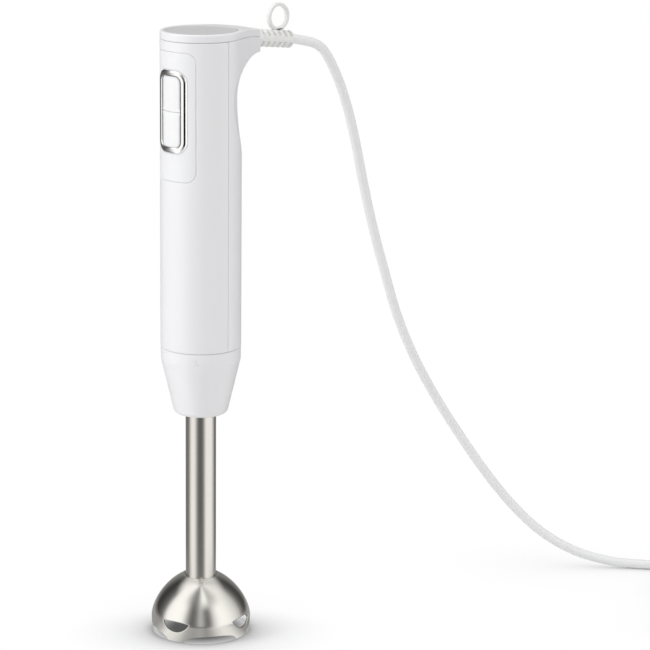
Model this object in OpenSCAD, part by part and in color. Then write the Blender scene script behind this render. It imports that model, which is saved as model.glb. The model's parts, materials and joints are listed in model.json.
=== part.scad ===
// Immersion blender: a motor handle that lifts off a steel blending foot.
// +Z is up. The origin is on the drive axis, level with the rim of the bell.
// The buttons face -Y and the cord leaves towards +Y. Millimetres.

/* [Handle] */
// Height of the joint between foot and handle, above the rim of the bell
seam_h = 194; // [186:1:200]
// Length of the handle above that joint
handle_l = 206; // [190:1:226]
// Outside diameter of the handle
handle_d = 52.4; // [51:0.2:56]
// Thickness of the handle's shells
wall = 2.2; // [1.8:0.1:2.4]
// Depth that the grip is let into the back of the handle
waist_in = 6.6; // [4:0.2:7.2]
// Distance of the narrowest point of the grip below the top
waist_drop = 42.5; // [41:0.5:46]
// Radius of the long sweep below the waist
sweep_r = 100; // [80:5:140]
// Radius of the tight sweep under the cord beak
beak_sweep_r = 24; // [23:0.5:25]
// Distance of the beak's end from the drive axis
beak_reach = 45; // [43:0.5:48]
// Width of the beak's end
beak_w = 18; // [17:0.5:20]
// Corner radius of the beak's end
beak_corner_r = 3; // [2.6:0.1:4]

/* [Cap] */
// Height of the top cap's edge
cap_h = 5; // [4:0.2:6]
// Radius of the cap's fall towards the cord
crown_r = 150; // [120:5:200]
// Distance behind the axis at which the cap starts to fall
crown_start = 15; // [12:1:20]
// Radius of the round inlay in the cap
inlay_r = 23.3; // [20:0.1:23.6]
// Thickness of the inlay
inlay_t = 1.2; // [0.8:0.1:1.4]

/* [Buttons] */
// Width of the panel round the buttons
panel_w = 34.5; // [33:0.5:37]
// Height of the panel
panel_h = 82.5; // [80:0.5:84]
// Distance of the panel's top edge below the top of the handle
panel_drop = 11.6; // [11:0.2:13]
// Thickness of the panel
panel_t = 1.2; // [1:0.1:1.4]
// Corner radius of the panel
panel_corner_r = 6; // [4:0.5:8]
// Width of the chrome bezel
bezel_w = 25.2; // [24.6:0.2:26]
// Height of the chrome bezel
bezel_h = 53; // [52:0.5:55]
// Width of the bezel's frame
bezel_frame = 3.9; // [3.4:0.1:4.2]
// How far the bezel stands proud of the handle
bezel_proud = 0.9; // [0.5:0.1:1.4]
// Distance of the bezel's middle below the top of the handle
bezel_drop = 49.5; // [49:0.1:50]
// Travel of each button
button_travel = 1.5; // [1:0.1:1.8]
// Gap round each button
button_gap = 0.25; // [0.2:0.05:0.4]

/* [Motor] */
// Outside radius of the motor
motor_r = 22.8; // [22.2:0.1:23.2]
// Length of the stator and armature stacks
stack_h = 34; // [28:1:38]
// Radius of the motor shaft and of the drive shaft
shaft_r = 3; // [2.5:0.1:3.4]
// Radius of the armature
armature_r = 14; // [12.5:0.1:14.4]
// Number of armature slots
armature_slots = 12; // [8:1:14]
// Radius of the cooling fan
fan_r = 19; // [16:0.5:20]
// Number of fan blades
fan_blades = 9; // [7:1:12]

/* [Foot] */
// Outside diameter of the steel tube
tube_d = 20; // [18:0.5:21]
// Wall of the steel tube
tube_wall = 0.8; // [0.6:0.1:1]
// Height of the foot collar
collar_h = 47; // [44:1:50]
// Height of the straight band at the collar's top
collar_band_h = 8; // [6:0.5:10]
// Radius of the collar's lower end
collar_low_r = 17.2; // [15:0.2:19]
// Depth to which the handle's spigot enters the collar
spigot_h = 15; // [12:0.5:16]
// Outside radius of the spigot
spigot_r = 20; // [19:0.1:20.6]

/* [Bell] */
// Largest radius of the bell
bell_r = 32.7; // [31:0.1:35]
// Height of the bell
bell_h = 40; // [37:0.5:43]
// Height of the bell's widest point
bell_belly = 10; // [8:0.5:12]
// Thickness of the bell's sheet
bell_wall = 1; // [0.8:0.1:1.4]
// Width of each vent in the bell
vent_w = 20; // [16:0.5:22]
// Height of each vent
vent_h = 6.5; // [5:0.5:8]
// Height of the rim arches
arch_h = 5; // [4:0.2:5.4]
// Width of the rim arches
arch_w = 36; // [32:0.5:38]
// Turn of the first vent from the front
vent_turn = 16; // [10:1:20]
// Reach of the blade's wings from the axis
blade_r = 23; // [20:0.5:25]

/* [Cord] */
// Diameter of the cord
cord_d = 6.3; // [5.8:0.1:6.6]
// Diameter of the ribbed strain relief
relief_d = 11.7; // [11:0.1:12.4]
// Length of the strain relief outside the handle
relief_l = 32.3; // [30:0.1:35]
// Angle at which the strain relief points down
relief_tilt = 7; // [5:0.5:9]
// Number of slots along each side of the strain relief
relief_slots = 6; // [5:1:6]
// Radius of the hole in the hanging loop
loop_hole_r = 6.9; // [6:0.1:7.4]
// Thickness of the hanging loop
loop_t = 2.2; // [1.6:0.1:2.6]
// Width of the hanging loop
loop_w = 3; // [2.4:0.1:4]

/* [Hidden] */
$fn = 96;

// Clearances
run_gap = 0.05;   // shaft in a bush or bearing
seat_gap = 0.02;  // piece pressed or glued on its seat
slide_gap = 0.3;  // pieces that pass each other as they move
line_gap = 0.2;   // visible joint line between two fixed covers
eps = 0.01;
far = 200;        // longer than any piece that a half-space cuts

// Handle
overall_h = seam_h + handle_l;
handle_r = handle_d / 2;
inner_r = handle_r - wall;
waist_z = overall_h - waist_drop;
waist_depth = handle_r - waist_in;
cap_seam = overall_h - cap_h;
handle_floor = seam_h + slide_gap;
waist_half_w = handle_r + 0.6;  // a little wide, so that the scoop crosses the sides
beak_foot_drop = 8;       // how far the beak's foot starts below the waist, all cut away again

// Cord outlet in the beak
cord_z = overall_h - 10.8;       // the lead inside the handle
relief_z = overall_h - 9.2;      // the strain relief's axis at the beak's end
relief_start = beak_reach + eps;
relief_end_y = beak_reach + relief_l * cos(relief_tilt);
relief_end_z = relief_z - relief_l * sin(relief_tilt);
relief_r = relief_d / 2;
relief_core_r = cord_d / 2 + 0.5;
relief_web = 1.6;                // half the height of the ribs' side webs
relief_plain_l = 4.4;
relief_flange_l = 1.4;
relief_slot_w = 2;
loop_y = beak_reach + 22.3;
loop_foot_w = 7;
cord_r = cord_d / 2;
neck_r = cord_r + 0.8;
neck_plate_w = 11;
neck_plate_h = 6.2;
neck_plate_t = 1.6;
neck_plate_low = 3.2;
neck_start = beak_reach - wall - neck_plate_t;
saddle_y = 26.5;
saddle_l = 8;
saddle_h = 14;
lead_start = 24;
lead_bare_l = 10;
clamp_w = 16;
clamp_t = 3;
clamp_screw_x = 5.9;
clamp_screw_r = 0.85;
clamp_pilot_l = 8;

// Buttons
panel_top = overall_h - panel_drop;
panel_mid = panel_top - panel_h / 2;
bezel_mid = overall_h - bezel_drop;
bezel_corner_r = 8;
leg_w = bezel_w - 4;
leg_h = bezel_h - 2.4;
window_back = handle_r - 14.2;
bezel_leg_y = handle_r - 4.2;
hole_w = bezel_w - 2 * bezel_frame;
hole_h = bezel_h - 2 * bezel_frame + 1.2;
hole_corner_r = 4.2;
button_w = hole_w - 2 * button_gap;
button_split = 0.5;
button_h = (hole_h - 2 * button_gap - button_split) / 2;
button_proud = 0.7;
button_skirt = 1.3;
button_flange_t = 1.2;
button_flange_w = button_w + 2.4;
flange_front = bezel_leg_y - slide_gap;
upper_z = bezel_mid + (button_h + button_split) / 2;
lower_z = bezel_mid - (button_h + button_split) / 2;

// Switches: y values are distances in front of the drive axis
button_back = handle_r - 1.8;
switch_front = handle_r - 11.7;
switch_d = 6;
switch_w = 6.4;
switch_h = 12.8;
board_front = switch_front - switch_d;
board_t = 1.6;
board_w = 18;
plunger_tip = switch_front + button_travel + 0.1;
plunger_l = 3;
plunger_w = 3;
plunger_t = 1.6;
stem_r = 1.6;
spring_r = 2.6;
spring_wire_r = 0.3;
spring_turns = 5;
rib_t = 1.6;
rib_offset = panel_h / 2 - 8.5;
rib_back = 5;
board_h = 2 * rib_offset - rib_t - 0.2;

// Screws that hold the shells together, hidden behind the panel
screw_x = 11;
screw_offset = panel_h / 2 - 6;
screw_r = 1.5;
screw_head_r = 2.7;
screw_head_t = 1.8;
screw_sunk = 7.2;       // depth of the heads' undersides below the handle's surface
screw_pilot_l = 15;
boss_r = 3.4;
screw_l = 30;

// Motor stack, from the foot upwards
deck_t = 3.7;
deck_top = handle_floor + deck_t;
cup_h = 8;
cup_r = 13;
bearing_r = 9.5;
bearing_h = 6;
bearing_z = deck_top + 1;
fan_z = deck_top + cup_h + 2;
fan_h = 9;
coil_over = 4.5;
stack_z = fan_z + fan_h + coil_over + 2.5;
stack_top = stack_z + stack_h;
yoke_t = 3.5;
window_turn = 34;
coil_turn = 32;
bore_r = armature_r + 0.6;
motor_wall = 1.9;
bracket_h = 23;
bracket_t = 3;
bracket_top = stack_top + bracket_h;
motor_rib_z = bracket_top - 9;
motor_rib_h = 3;
commutator_r = 8.5;
commutator_h = 10;
commutator_z = stack_top + coil_over + 3.5;
brush_z = commutator_z + commutator_h / 2;
top_bearing_r = 6.5;
top_bearing_h = 5;
top_bearing_z = bracket_top + 1;
shaft_top = top_bearing_z + top_bearing_h + 1.5;

// Drive coupling between handle and foot
socket_r = 9.5;
socket_floor = seam_h - 30;
socket_top = seam_h - 18;
socket_base = seam_h - 34;
dog_core_r = 3.9;
dog_tooth_r = 6.4;
dog_tooth_w = 3;
dog_gap = 0.35;
dog_bottom = socket_floor + 1.5;
dog_top = handle_floor - spigot_h + 3;

// Foot
tube_r = tube_d / 2;
collar_bottom = seam_h - collar_h;
collar_r = handle_r - 0.2;
chamber_floor = socket_base - 2;
chamber_r = socket_r + 1.5;
chamber_top = seam_h - spigot_h - 1.5;
tube_top = chamber_floor;
bush_h = 13;
bell_rim_r = bell_r - 0.7;
bell_rise = bell_h - bell_belly + 1.3;
bell_hole_r = 7.9;
blade_z = 15;
blade_t = 1.2;
nut_r = 5;
nut_h = 4.5;
shaft_bottom = blade_z - nut_h - 1;
shaft_end_z = socket_floor - 1;
clip_z = bell_h - 6.3;
clip_t = 0.8;
clip_open = 2.4;
seal_z = bell_h - 4;
seal_h = 6.3;

// Cord: points chosen by hand, then a coil, a short tail and the plug. In the points of the
// fall the third number is a share of the overall height.
CORD_FALL = [
    [0, 106, 0.9475], [0, 120, 0.9025], [0, 131, 0.845], [0, 140, 0.7775], [0, 148, 0.705],
    [1, 157, 0.625], [3, 167, 0.545], [5, 178, 0.465], [9, 192, 0.385], [15, 208, 0.31],
    [23, 224, 0.24], [34, 238, 0.175], [47, 252, 0.115], [63, 266, 0.065], [81, 282, 0.03],
];
coil_c = [186, 318];
coil_out_r = 38.5;
coil_in_r = coil_out_r - cord_d - 0.2;
coil_mid_r = (coil_out_r + coil_in_r) / 2;
coil_top_z = cord_r + sqrt(pow(cord_d, 2) - pow((coil_out_r - coil_in_r) / 2, 2));
coil_entry = 125;
coil_start = [coil_c[0] + coil_out_r * cos(coil_entry),
              coil_c[1] + coil_out_r * sin(coil_entry), cord_r];
CORD_POINTS = concat(
    [[0, relief_end_y, relief_end_z],
     [0, relief_end_y + 8 * cos(relief_tilt), relief_end_z - 8 * sin(relief_tilt)]],
    [for (p = CORD_FALL) [p[0], p[1], p[2] * overall_h]],
    [[101, 300, cord_r + 1.5], [121, 317, cord_r], [141, 333, cord_r], coil_start]);
cord_sides = 10;
cord_substeps = 2;

// Plug: flat two-pin, lying on its broad side
plug_w = 35.3;
plug_t = 13.7;
plug_l = 35;
plug_sleeve_l = 14;
pin_r = 2;
pin_l = 19;
pin_pitch = 18.6;
plug_x = coil_c[0] + coil_mid_r;
plug_back = 42;           // distance of the plug's rear end in front of the coil's middle
plug_rear = coil_c[1] - plug_back;
plug_z = plug_t / 2;

// ---- Shared shapes ----

function unit(v) = v / norm(v);

// Outline with round corners, centred
module round_rect(w, h, r) {
    square([w - 2 * r, h], center = true);
    square([w, h - 2 * r], center = true);
    for (x = [-1, 1], y = [-1, 1])
        translate([x * (w / 2 - r), y * (h / 2 - r)]) circle(r);
}

// A flat outline drawn in X and Z, pushed through from y0 to y1
module push_y(y0, y1) {
    translate([0, y1, 0]) rotate([90, 0, 0]) linear_extrude(y1 - y0) children();
}

module tube(r_out, r_in, h) {
    difference() {
        cylinder(r = r_out, h = h);
        translate([0, 0, -eps]) cylinder(r = r_in, h = h + 2 * eps);
    }
}

// A disc with a hole, standing on z = 0, its outer edges broken
module bush(r_out, r_in, h, edge = 0.4) {
    rotate_extrude()
        polygon([[r_in, 0], [r_out - edge, 0], [r_out, edge], [r_out, h - edge],
                 [r_out - edge, h], [r_in, h]]);
}

// Pan-head screw with its tip at the origin, pointing down
module screw(r, l, head_r, head_t) {
    cylinder(r = r, h = l);
    difference() {
        translate([0, 0, l]) cylinder(r = head_r, h = head_t);
        for (a = [0, 90])
            translate([0, 0, l + head_t]) rotate(a)
                cube([head_r * 1.3, 0.7, head_t], center = true);
    }
}

// ---- Outer form of the handle ----

// Plan of the cord beak: its sides run into the handle's circle almost tangent
module beak_plan(inset) {
    r = handle_r - inset - 0.1;
    rc = max(0.4, beak_corner_r - inset);
    bx = beak_w / 2 - inset - rc;
    by = beak_reach - inset - rc;
    turn = atan2(by, bx) - acos((r - rc) / norm([bx, by]));
    n = [cos(turn), sin(turn)];
    for (x = [-1, 1]) translate([x * bx, by]) circle(rc);
    polygon([[0, 0], [r * n[0], r * n[1]], [bx + rc * n[0], by + rc * n[1]], [bx, by + rc],
             [-bx, by + rc], [-bx - rc * n[0], by + rc * n[1]], [-r * n[0], r * n[1]]]);
}

// Everything under the cap's surface at the height top
module under_crown(top) {
    translate([-far / 2, -far / 2, 0]) cube([far, far / 2 + crown_start, top]);
    intersection() {
        translate([-far / 2, crown_start, top - crown_r])
            rotate([0, 90, 0]) cylinder(r = crown_r, h = far, $fn = 180);
        translate([-far / 2, crown_start, 0]) cube([far, far / 2, top]);
    }
}

// Spool that scoops the grip: at the waist it leaves an elliptical back
module grip_spool(radius, inset) {
    function back(a) = waist_depth * cos(a);
    translate([0, waist_depth + radius, waist_z]) rotate([0, 90, 0]) rotate_extrude()
        polygon(concat(
            [[0, -far / 4], [radius + waist_depth + inset, -far / 4]],
            [for (a = [-90:15:90])
                [radius + waist_depth - back(a) + inset, waist_half_w * sin(a)]],
            [[radius + waist_depth + inset, far / 4], [0, far / 4]]));
}

// The handle without its grip, inside its surface by inset
module handle_block(inset, bottom, top, beak_bottom) {
    intersection() {
        union() {
            translate([0, 0, bottom]) cylinder(r = handle_r - inset, h = top - bottom);
            translate([0, 0, beak_bottom]) linear_extrude(top - beak_bottom) beak_plan(inset);
        }
        under_crown(top);
    }
}

// The whole handle, with the grip scooped from its back
module handle_form(inset, bottom, top) {
    difference() {
        // The spools clear away the foot of the beak
        handle_block(inset, bottom, top, max(bottom, waist_z - beak_foot_drop));
        intersection() {
            grip_spool(beak_sweep_r, inset);
            translate([-far / 2, 0, waist_z]) cube(far);
        }
        intersection() {
            grip_spool(sweep_r, inset);
            translate([-far / 2, 0, 0]) cube([far, far, waist_z]);
        }
    }
}

// ---- Handle shells ----

module screw_places() {
    for (x = [-1, 1], z = [-1, 1])
        translate([x * screw_x, 0, panel_mid + z * screw_offset]) children();
}

module motor_rib(z) {
    translate([0, 0, z]) tube(inner_r + eps, motor_r + 0.15, motor_rib_h);
}

// Round hole for the strain relief's neck, shared by the rear shell and the cap
module neck_hole() {
    translate([0, neck_start - 0.2, cord_z]) rotate([-90, 0, 0]) cylinder(r = neck_r + 0.1, h = far);
}

module front_housing() color("white") {
    pocket_r = handle_r - panel_t - 0.1;
    difference() {
        union() {
            intersection() {
                translate([0, 0, handle_floor])
                    tube(handle_r, inner_r, cap_seam - line_gap - handle_floor);
                translate([-far / 2, -far, 0]) cube([far, far, far * 3]);
            }
            // A land behind the panel's pocket keeps the wall's strength
            intersection() {
                translate([0, 0, panel_mid - panel_h / 2 - 2])
                    tube(inner_r + eps, inner_r - 0.9, panel_h + 4);
                push_y(-far / 2, 0) translate([0, panel_mid])
                    round_rect(panel_w + 2, panel_h + 4, panel_corner_r);
            }
            intersection() {
                motor_rib(motor_rib_z);
                translate([-far / 2, -far, 0]) cube([far, far, far * 3]);
            }
            // Shelves that hold the ends of the switch board
            for (z = [-1, 1]) intersection() {
                translate([0, 0, panel_mid + z * rib_offset - rib_t / 2])
                    cylinder(r = inner_r + eps, h = rib_t);
                translate([-far / 2, -far - rib_back, 0]) cube([far, far, far * 3]);
            }
            // Bosses for the screws
            intersection() {
                screw_places() rotate([90, 0, 0]) cylinder(r = boss_r, h = handle_r);
                translate([0, 0, handle_floor]) cylinder(r = inner_r + eps, h = far * 2);
                translate([-far / 2, -far - eps, 0]) cube([far, far, far * 3]);
            }
        }
        // Pocket for the panel
        intersection() {
            translate([0, 0, panel_mid - panel_h]) tube(far / 2, pocket_r, panel_h * 2);
            push_y(-far / 2, 0) translate([0, panel_mid])
                round_rect(panel_w + 2 * line_gap, panel_h + 2 * line_gap,
                           panel_corner_r + line_gap);
        }
        // Window for the bezel's leg and the buttons
        push_y(-far / 2, -window_back) translate([0, bezel_mid])
            round_rect(leg_w + 2 * line_gap, leg_h + 2 * line_gap, bezel_corner_r - 1.6);
        // Screw holes, with room for the heads under the panel
        screw_places() rotate([90, 0, 0]) {
            translate([0, 0, -1]) cylinder(r = screw_r + 0.15, h = handle_r + 2);
            translate([0, 0, handle_r - screw_sunk])
                cylinder(r = screw_head_r + 0.2, h = screw_sunk + 1);
        }
    }
}

module rear_housing() color("white") {
    difference() {
        union() {
            difference() {
                handle_form(0, handle_floor, cap_seam - line_gap);
                translate([0, 0, -eps]) handle_form(wall, handle_floor - 1, cap_seam + 1);
            }
            motor_rib(motor_rib_z);
            // Bosses that the screws bite in
            intersection() {
                screw_places() rotate([-90, 0, 0]) cylinder(r = boss_r - 0.3, h = handle_r);
                handle_form(wall - eps, handle_floor, cap_seam - line_gap);
            }
            // Saddle under the inner lead
            intersection() {
                translate([-clamp_w / 2, saddle_y, cord_z - saddle_h])
                    cube([clamp_w, saddle_l, saddle_h - 0.3]);
                handle_form(wall - eps, handle_floor, cap_seam - line_gap);
            }
        }
        translate([-far / 2, -far + line_gap / 2, 0]) cube([far, far, far * 3]);
        // Slot in the beak's end that the strain relief drops into
        neck_hole();
        translate([-neck_r - 0.1, neck_start - 0.2, cord_z])
            cube([2 * neck_r + 0.2, far, far]);
        // Groove in the saddle
        translate([0, saddle_y - 1, cord_z]) rotate([-90, 0, 0]) cylinder(r = cord_r, h = saddle_l + 2);
        // Pilot holes
        screw_places() rotate([-90, 0, 0]) translate([0, 0, -1])
            cylinder(r = screw_r - 0.1, h = screw_pilot_l);
        for (x = [-1, 1]) translate([x * clamp_screw_x, saddle_y + saddle_l / 2, cord_z - clamp_pilot_l + 1])
            cylinder(r = clamp_screw_r + 0.05, h = clamp_pilot_l);
    }
}

module top_cap() color("white") {
    rim_t = 1.2;
    rim_inset = wall + 0.15;
    roof_t = 2.9;
    lip_h = 2.2;
    difference() {
        handle_block(0, cap_seam - cap_h, overall_h, cap_seam - cap_h);
        under_crown(cap_seam);
        translate([0, 0, overall_h - inlay_t - 0.1]) cylinder(r = inlay_r + 0.1, h = 5);
        // Hollow under the lid
        cylinder(r = handle_r - rim_inset - rim_t, h = overall_h - roof_t);
        neck_hole();
    }
    // Rim that locates the cap inside the shells
    intersection() {
        translate([0, 0, cap_seam - lip_h])
            tube(handle_r - rim_inset, handle_r - rim_inset - rim_t, lip_h + 1);
        translate([-far / 2, -far / 2, 0]) cube([far, far / 2 + crown_start - 1, far * 3]);
    }
}

module cap_inlay() color("gainsboro") {
    translate([0, 0, overall_h - inlay_t - 0.1 + seat_gap]) rotate_extrude()
        polygon([[0, 0], [inlay_r, 0], [inlay_r, inlay_t - 0.3], [inlay_r - 0.4, inlay_t - 0.1],
                 [0, inlay_t - 0.1]]);
}

// ---- Buttons ----

module button_panel() color("whitesmoke") {
    difference() {
        intersection() {
            translate([0, 0, panel_mid - panel_h / 2])
                tube(handle_r - 0.05, handle_r - panel_t, panel_h);
            push_y(-far / 2, 0) translate([0, panel_mid])
                round_rect(panel_w, panel_h, panel_corner_r);
        }
        push_y(-far / 2, 0) translate([0, bezel_mid])
            round_rect(bezel_w + line_gap, bezel_h + line_gap, bezel_corner_r);
    }
}

module bezel_ring(w, h, r) {
    difference() {
        round_rect(w, h, r);
        round_rect(hole_w, hole_h, hole_corner_r);
    }
}

module bezel_band(r_in, r_out, w, h, r) {
    intersection() {
        translate([0, 0, bezel_mid - bezel_h]) tube(r_out, r_in, bezel_h * 2);
        push_y(-far / 2, 0) translate([0, bezel_mid]) bezel_ring(w, h, r);
    }
}

module button_bezel() color("silver") {
    bezel_band(handle_r - panel_t, handle_r + bezel_proud * 0.45, bezel_w, bezel_h, bezel_corner_r);
    bezel_band(handle_r - panel_t, handle_r + bezel_proud, bezel_w - 1.8, bezel_h - 1.8,
               bezel_corner_r - 0.9);
    // Leg that passes through the window
    intersection() {
        translate([0, 0, bezel_mid - bezel_h]) cylinder(r = handle_r - 1, h = bezel_h * 2);
        push_y(-far / 2, -bezel_leg_y) translate([0, bezel_mid])
            bezel_ring(leg_w, leg_h, bezel_corner_r - 1.8);
    }
}

// Button outline, round at its outer end: side is 1 at the top and -1 below
module button_outline(side) {
    r = hole_corner_r - button_gap;
    square([button_w - 2 * r, button_h], center = true);
    translate([0, -side * r / 2]) square([button_w, button_h - r], center = true);
    for (x = [-1, 1]) translate([x * (button_w / 2 - r), side * (button_h / 2 - r)]) circle(r);
}

module button(z, side) color("white") {
    translate([0, 0, z]) {
        difference() {
            intersection() {
                translate([0, 0, -button_h]) cylinder(r = handle_r + button_proud, h = button_h * 2);
                push_y(-far / 2, -flange_front + eps) button_outline(side);
            }
            push_y(-button_back, 0)
                square([button_w - 2 * button_skirt, button_h - 2 * button_skirt], center = true);
        }
        // Flange that stops the button behind the bezel
        difference() {
            push_y(-flange_front, -flange_front + button_flange_t)
                square([button_flange_w, button_h - 1], center = true);
            push_y(-far / 2, 0)
                square([button_w - 2 * button_skirt, button_h - 2 * button_skirt], center = true);
        }
        // Stem that presses the plunger
        translate([0, -plunger_tip - slide_gap, 0]) rotate([90, 0, 0])
            cylinder(r = stem_r, h = button_back - plunger_tip);
    }
}

module upper_button() button(upper_z, 1);
module lower_button() button(lower_z, -1);

// Return spring between the switch and the button, wound round the stem
module return_spring(z) color("silver") {
    sides = 6;
    steps = spring_turns * 12;
    y0 = -button_back + spring_wire_r + 0.05;
    y1 = -switch_front - spring_wire_r - 0.05;
    pts = [for (i = [0:steps]) for (k = [0:sides - 1])
        let (a = 360 * i / 12, b = 360 * k / sides,
             rr = spring_r + spring_wire_r * cos(b))
        [rr * cos(a), y0 + (y1 - y0) * i / steps + spring_wire_r * sin(b), z + rr * sin(a)]];
    faces = concat(
        [[for (k = [0:sides - 1]) k]],
        [for (i = [0:steps - 1]) for (k = [0:sides - 1])
            let (a = i * sides + k, b = i * sides + (k + 1) % sides)
            [a, a + sides, b + sides, b]],
        [[for (k = [sides - 1:-1:0]) steps * sides + k]]);
    polyhedron(pts, faces);
}

module upper_spring() return_spring(upper_z);
module lower_spring() return_spring(lower_z);

module switch_board() color("darkgreen") {
    push_y(-board_front, -board_front + board_t)
        translate([0, panel_mid]) square([board_w, board_h], center = true);
}

module micro_switch(z) color("dimgray") {
    difference() {
        translate([-switch_w / 2, -switch_front, z - switch_h / 2])
            cube([switch_w, switch_d - seat_gap, switch_h]);
        translate([-plunger_w / 2 - 0.15, -switch_front - 1, z - plunger_t / 2 - 0.15])
            cube([plunger_w + 0.3, switch_d - 0.2, plunger_t + 0.3]);
    }
}

module upper_switch() micro_switch(upper_z);
module lower_switch() micro_switch(lower_z);

module plunger(z) color("red") {
    translate([-plunger_w / 2, -plunger_tip, z - plunger_t / 2])
        cube([plunger_w, plunger_l, plunger_t]);
}

module upper_plunger() plunger(upper_z);
module lower_plunger() plunger(lower_z);

module capacitor() color("royalblue") {
    translate([-6.5, -board_front + board_t + seat_gap, panel_mid - 5]) cube([13, 6.5, 11]);
}

module housing_screws() color("silver") {
    head_y = handle_r - screw_sunk;
    screw_places() translate([0, -head_y + screw_l - 0.1, 0]) rotate([90, 0, 0])
        screw(screw_r - 0.12, screw_l, screw_head_r, screw_head_t);
}

// ---- Motor ----

module motor_base() color("dimgray") {
    windows = 4;
    difference() {
        union() {
            translate([0, 0, handle_floor - spigot_h]) tube(spigot_r, spigot_r - 3, spigot_h + 1);
            translate([0, 0, handle_floor]) cylinder(r = inner_r - 0.1, h = deck_t);
            translate([0, 0, deck_top - eps]) cylinder(r = cup_r, h = cup_h);
            translate([0, 0, deck_top - eps])
                tube(motor_r, motor_r - motor_wall, stack_z - deck_top);
        }
        translate([0, 0, bearing_z]) cylinder(r = bearing_r, h = far);
        translate([0, 0, handle_floor - 1]) cylinder(r = shaft_r + 1.5, h = far);
        // Air leaves through slots in the deck and comes in round the fan
        for (i = [0:11]) rotate(30 * i) translate([cup_r + 1.3, -1.4, handle_floor - 1])
            cube([2.4, 2.8, deck_t + 2]);
        for (i = [0:windows - 1]) rotate(90 * i + 45)
            translate([0, -7, deck_top + 3]) cube([far, 14, stack_z - deck_top - 6]);
    }
}

module bearing(z, r, h) color("silver") {
    translate([0, 0, z]) {
        tube(r - seat_gap, r * 0.78, h);
        translate([0, 0, 0.4]) tube(r * 0.8, shaft_r + 1.2, h - 0.8);
        tube(shaft_r + 1.3, shaft_r + run_gap, h);
    }
}

module lower_bearing() bearing(bearing_z + seat_gap, bearing_r, bearing_h);
module upper_bearing() bearing(top_bearing_z + seat_gap, top_bearing_r, top_bearing_h);

// Slice of a circle, as far as turn either side of the X axis
module wedge(turn) {
    polygon([[0, 0], [far, -far * tan(turn)], [far, far * tan(turn)]]);
}

module stator_core() color("slategray") {
    difference() {
        translate([0, 0, stack_z + seat_gap]) cylinder(r = motor_r - 0.3, h = stack_h - 2 * seat_gap);
        translate([0, 0, stack_z - 1]) cylinder(r = bore_r, h = stack_h + 2);
        // Windows for the field coils, either side of each pole
        for (x = [0, 180]) rotate(x) intersection() {
            translate([0, 0, stack_z - 1]) cylinder(r = motor_r - yoke_t, h = stack_h + 2);
            translate([0, 0, stack_z - 1]) linear_extrude(stack_h + 2)
                wedge(window_turn);
        }
    }
}

module field_coils() color("peru") {
    r_in = bore_r + 0.7;
    r_out = motor_r - yoke_t - 0.3;
    difference() {
        union() {
            for (z = [stack_z - coil_over, stack_top + 0.3])
                translate([0, 0, z]) tube(r_out, r_in, coil_over - 0.3);
            for (x = [0, 180]) rotate(x) intersection() {
                translate([0, 0, stack_z - 1]) tube(r_out, r_in, stack_h + 2);
                translate([0, 0, stack_z - 1]) linear_extrude(stack_h + 2)
                    wedge(coil_turn);
            }
        }
        translate([-far / 2, -0.5, 0]) cube([far, 1, far * 3]);
    }
}

module upper_bracket() color("dimgray") {
    difference() {
        union() {
            translate([0, 0, stack_top + seat_gap])
                tube(motor_r, motor_r - motor_wall, bracket_h - bracket_t);
            translate([0, 0, bracket_top - bracket_t - eps]) cylinder(r = motor_r, h = bracket_t);
            translate([0, 0, bracket_top - eps]) cylinder(r = top_bearing_r + 2, h = top_bearing_h + 1);
        }
        translate([0, 0, top_bearing_z]) cylinder(r = top_bearing_r, h = far);
        cylinder(r = shaft_r + 1, h = far * 3);
        // Openings for air and for the brush holders
        for (a = [90, 270]) rotate(a)
            translate([0, -10, stack_top + 3]) cube([far, 20, bracket_h - bracket_t - 6]);
        translate([-far / 2, -3.6, brush_z - 4.1]) cube([far, 7.2, 8.2]);
    }
}

module brush_holders() color("goldenrod") {
    for (a = [0, 180]) rotate(a) difference() {
        translate([commutator_r + 2.5, -3.5, brush_z - 4]) cube([motor_r - commutator_r - 2.8, 7, 8]);
        translate([0, -2.6, brush_z - 3.1]) cube([motor_r - 1.5, 5.2, 6.2]);
    }
}

module carbon_brushes() color("black") {
    for (a = [0, 180]) rotate(a)
        translate([commutator_r + slide_gap, -2.5, brush_z - 3]) cube([9, 5, 6]);
}

module motor_shaft() color("silver") {
    translate([0, 0, dog_bottom + 3]) cylinder(r = shaft_r, h = shaft_top - dog_bottom - 3);
}

module armature_core() color("slategray") {
    difference() {
        translate([0, 0, stack_z + 0.5]) cylinder(r = armature_r, h = stack_h - 1);
        cylinder(r = shaft_r + seat_gap, h = far * 3);
        for (i = [0:armature_slots - 1]) rotate(360 * i / armature_slots) {
            translate([armature_r - 3.6, 0, stack_z]) cylinder(r = 1.7, h = stack_h + 1, $fn = 24);
            translate([armature_r - 3, -0.6, stack_z]) cube([5, 1.2, stack_h + 1]);
        }
    }
}

module end_turns() {
    rotate_extrude()
        polygon([[shaft_r + 2, 0], [armature_r - 1.6, 0], [armature_r - 1.2, 1.5],
                 [armature_r - 3, 4.2], [shaft_r + 3, 5]]);
}

module armature_windings() color("chocolate") {
    translate([0, 0, stack_top - 0.5 + seat_gap]) end_turns();
    translate([0, 0, stack_z + 0.5 - seat_gap]) mirror([0, 0, 1]) end_turns();
    for (i = [0:armature_slots - 1]) rotate(360 * i / armature_slots)
        translate([armature_r - 3.6, 0, stack_z]) cylinder(r = 1.6, h = stack_h, $fn = 24);
}

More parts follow.
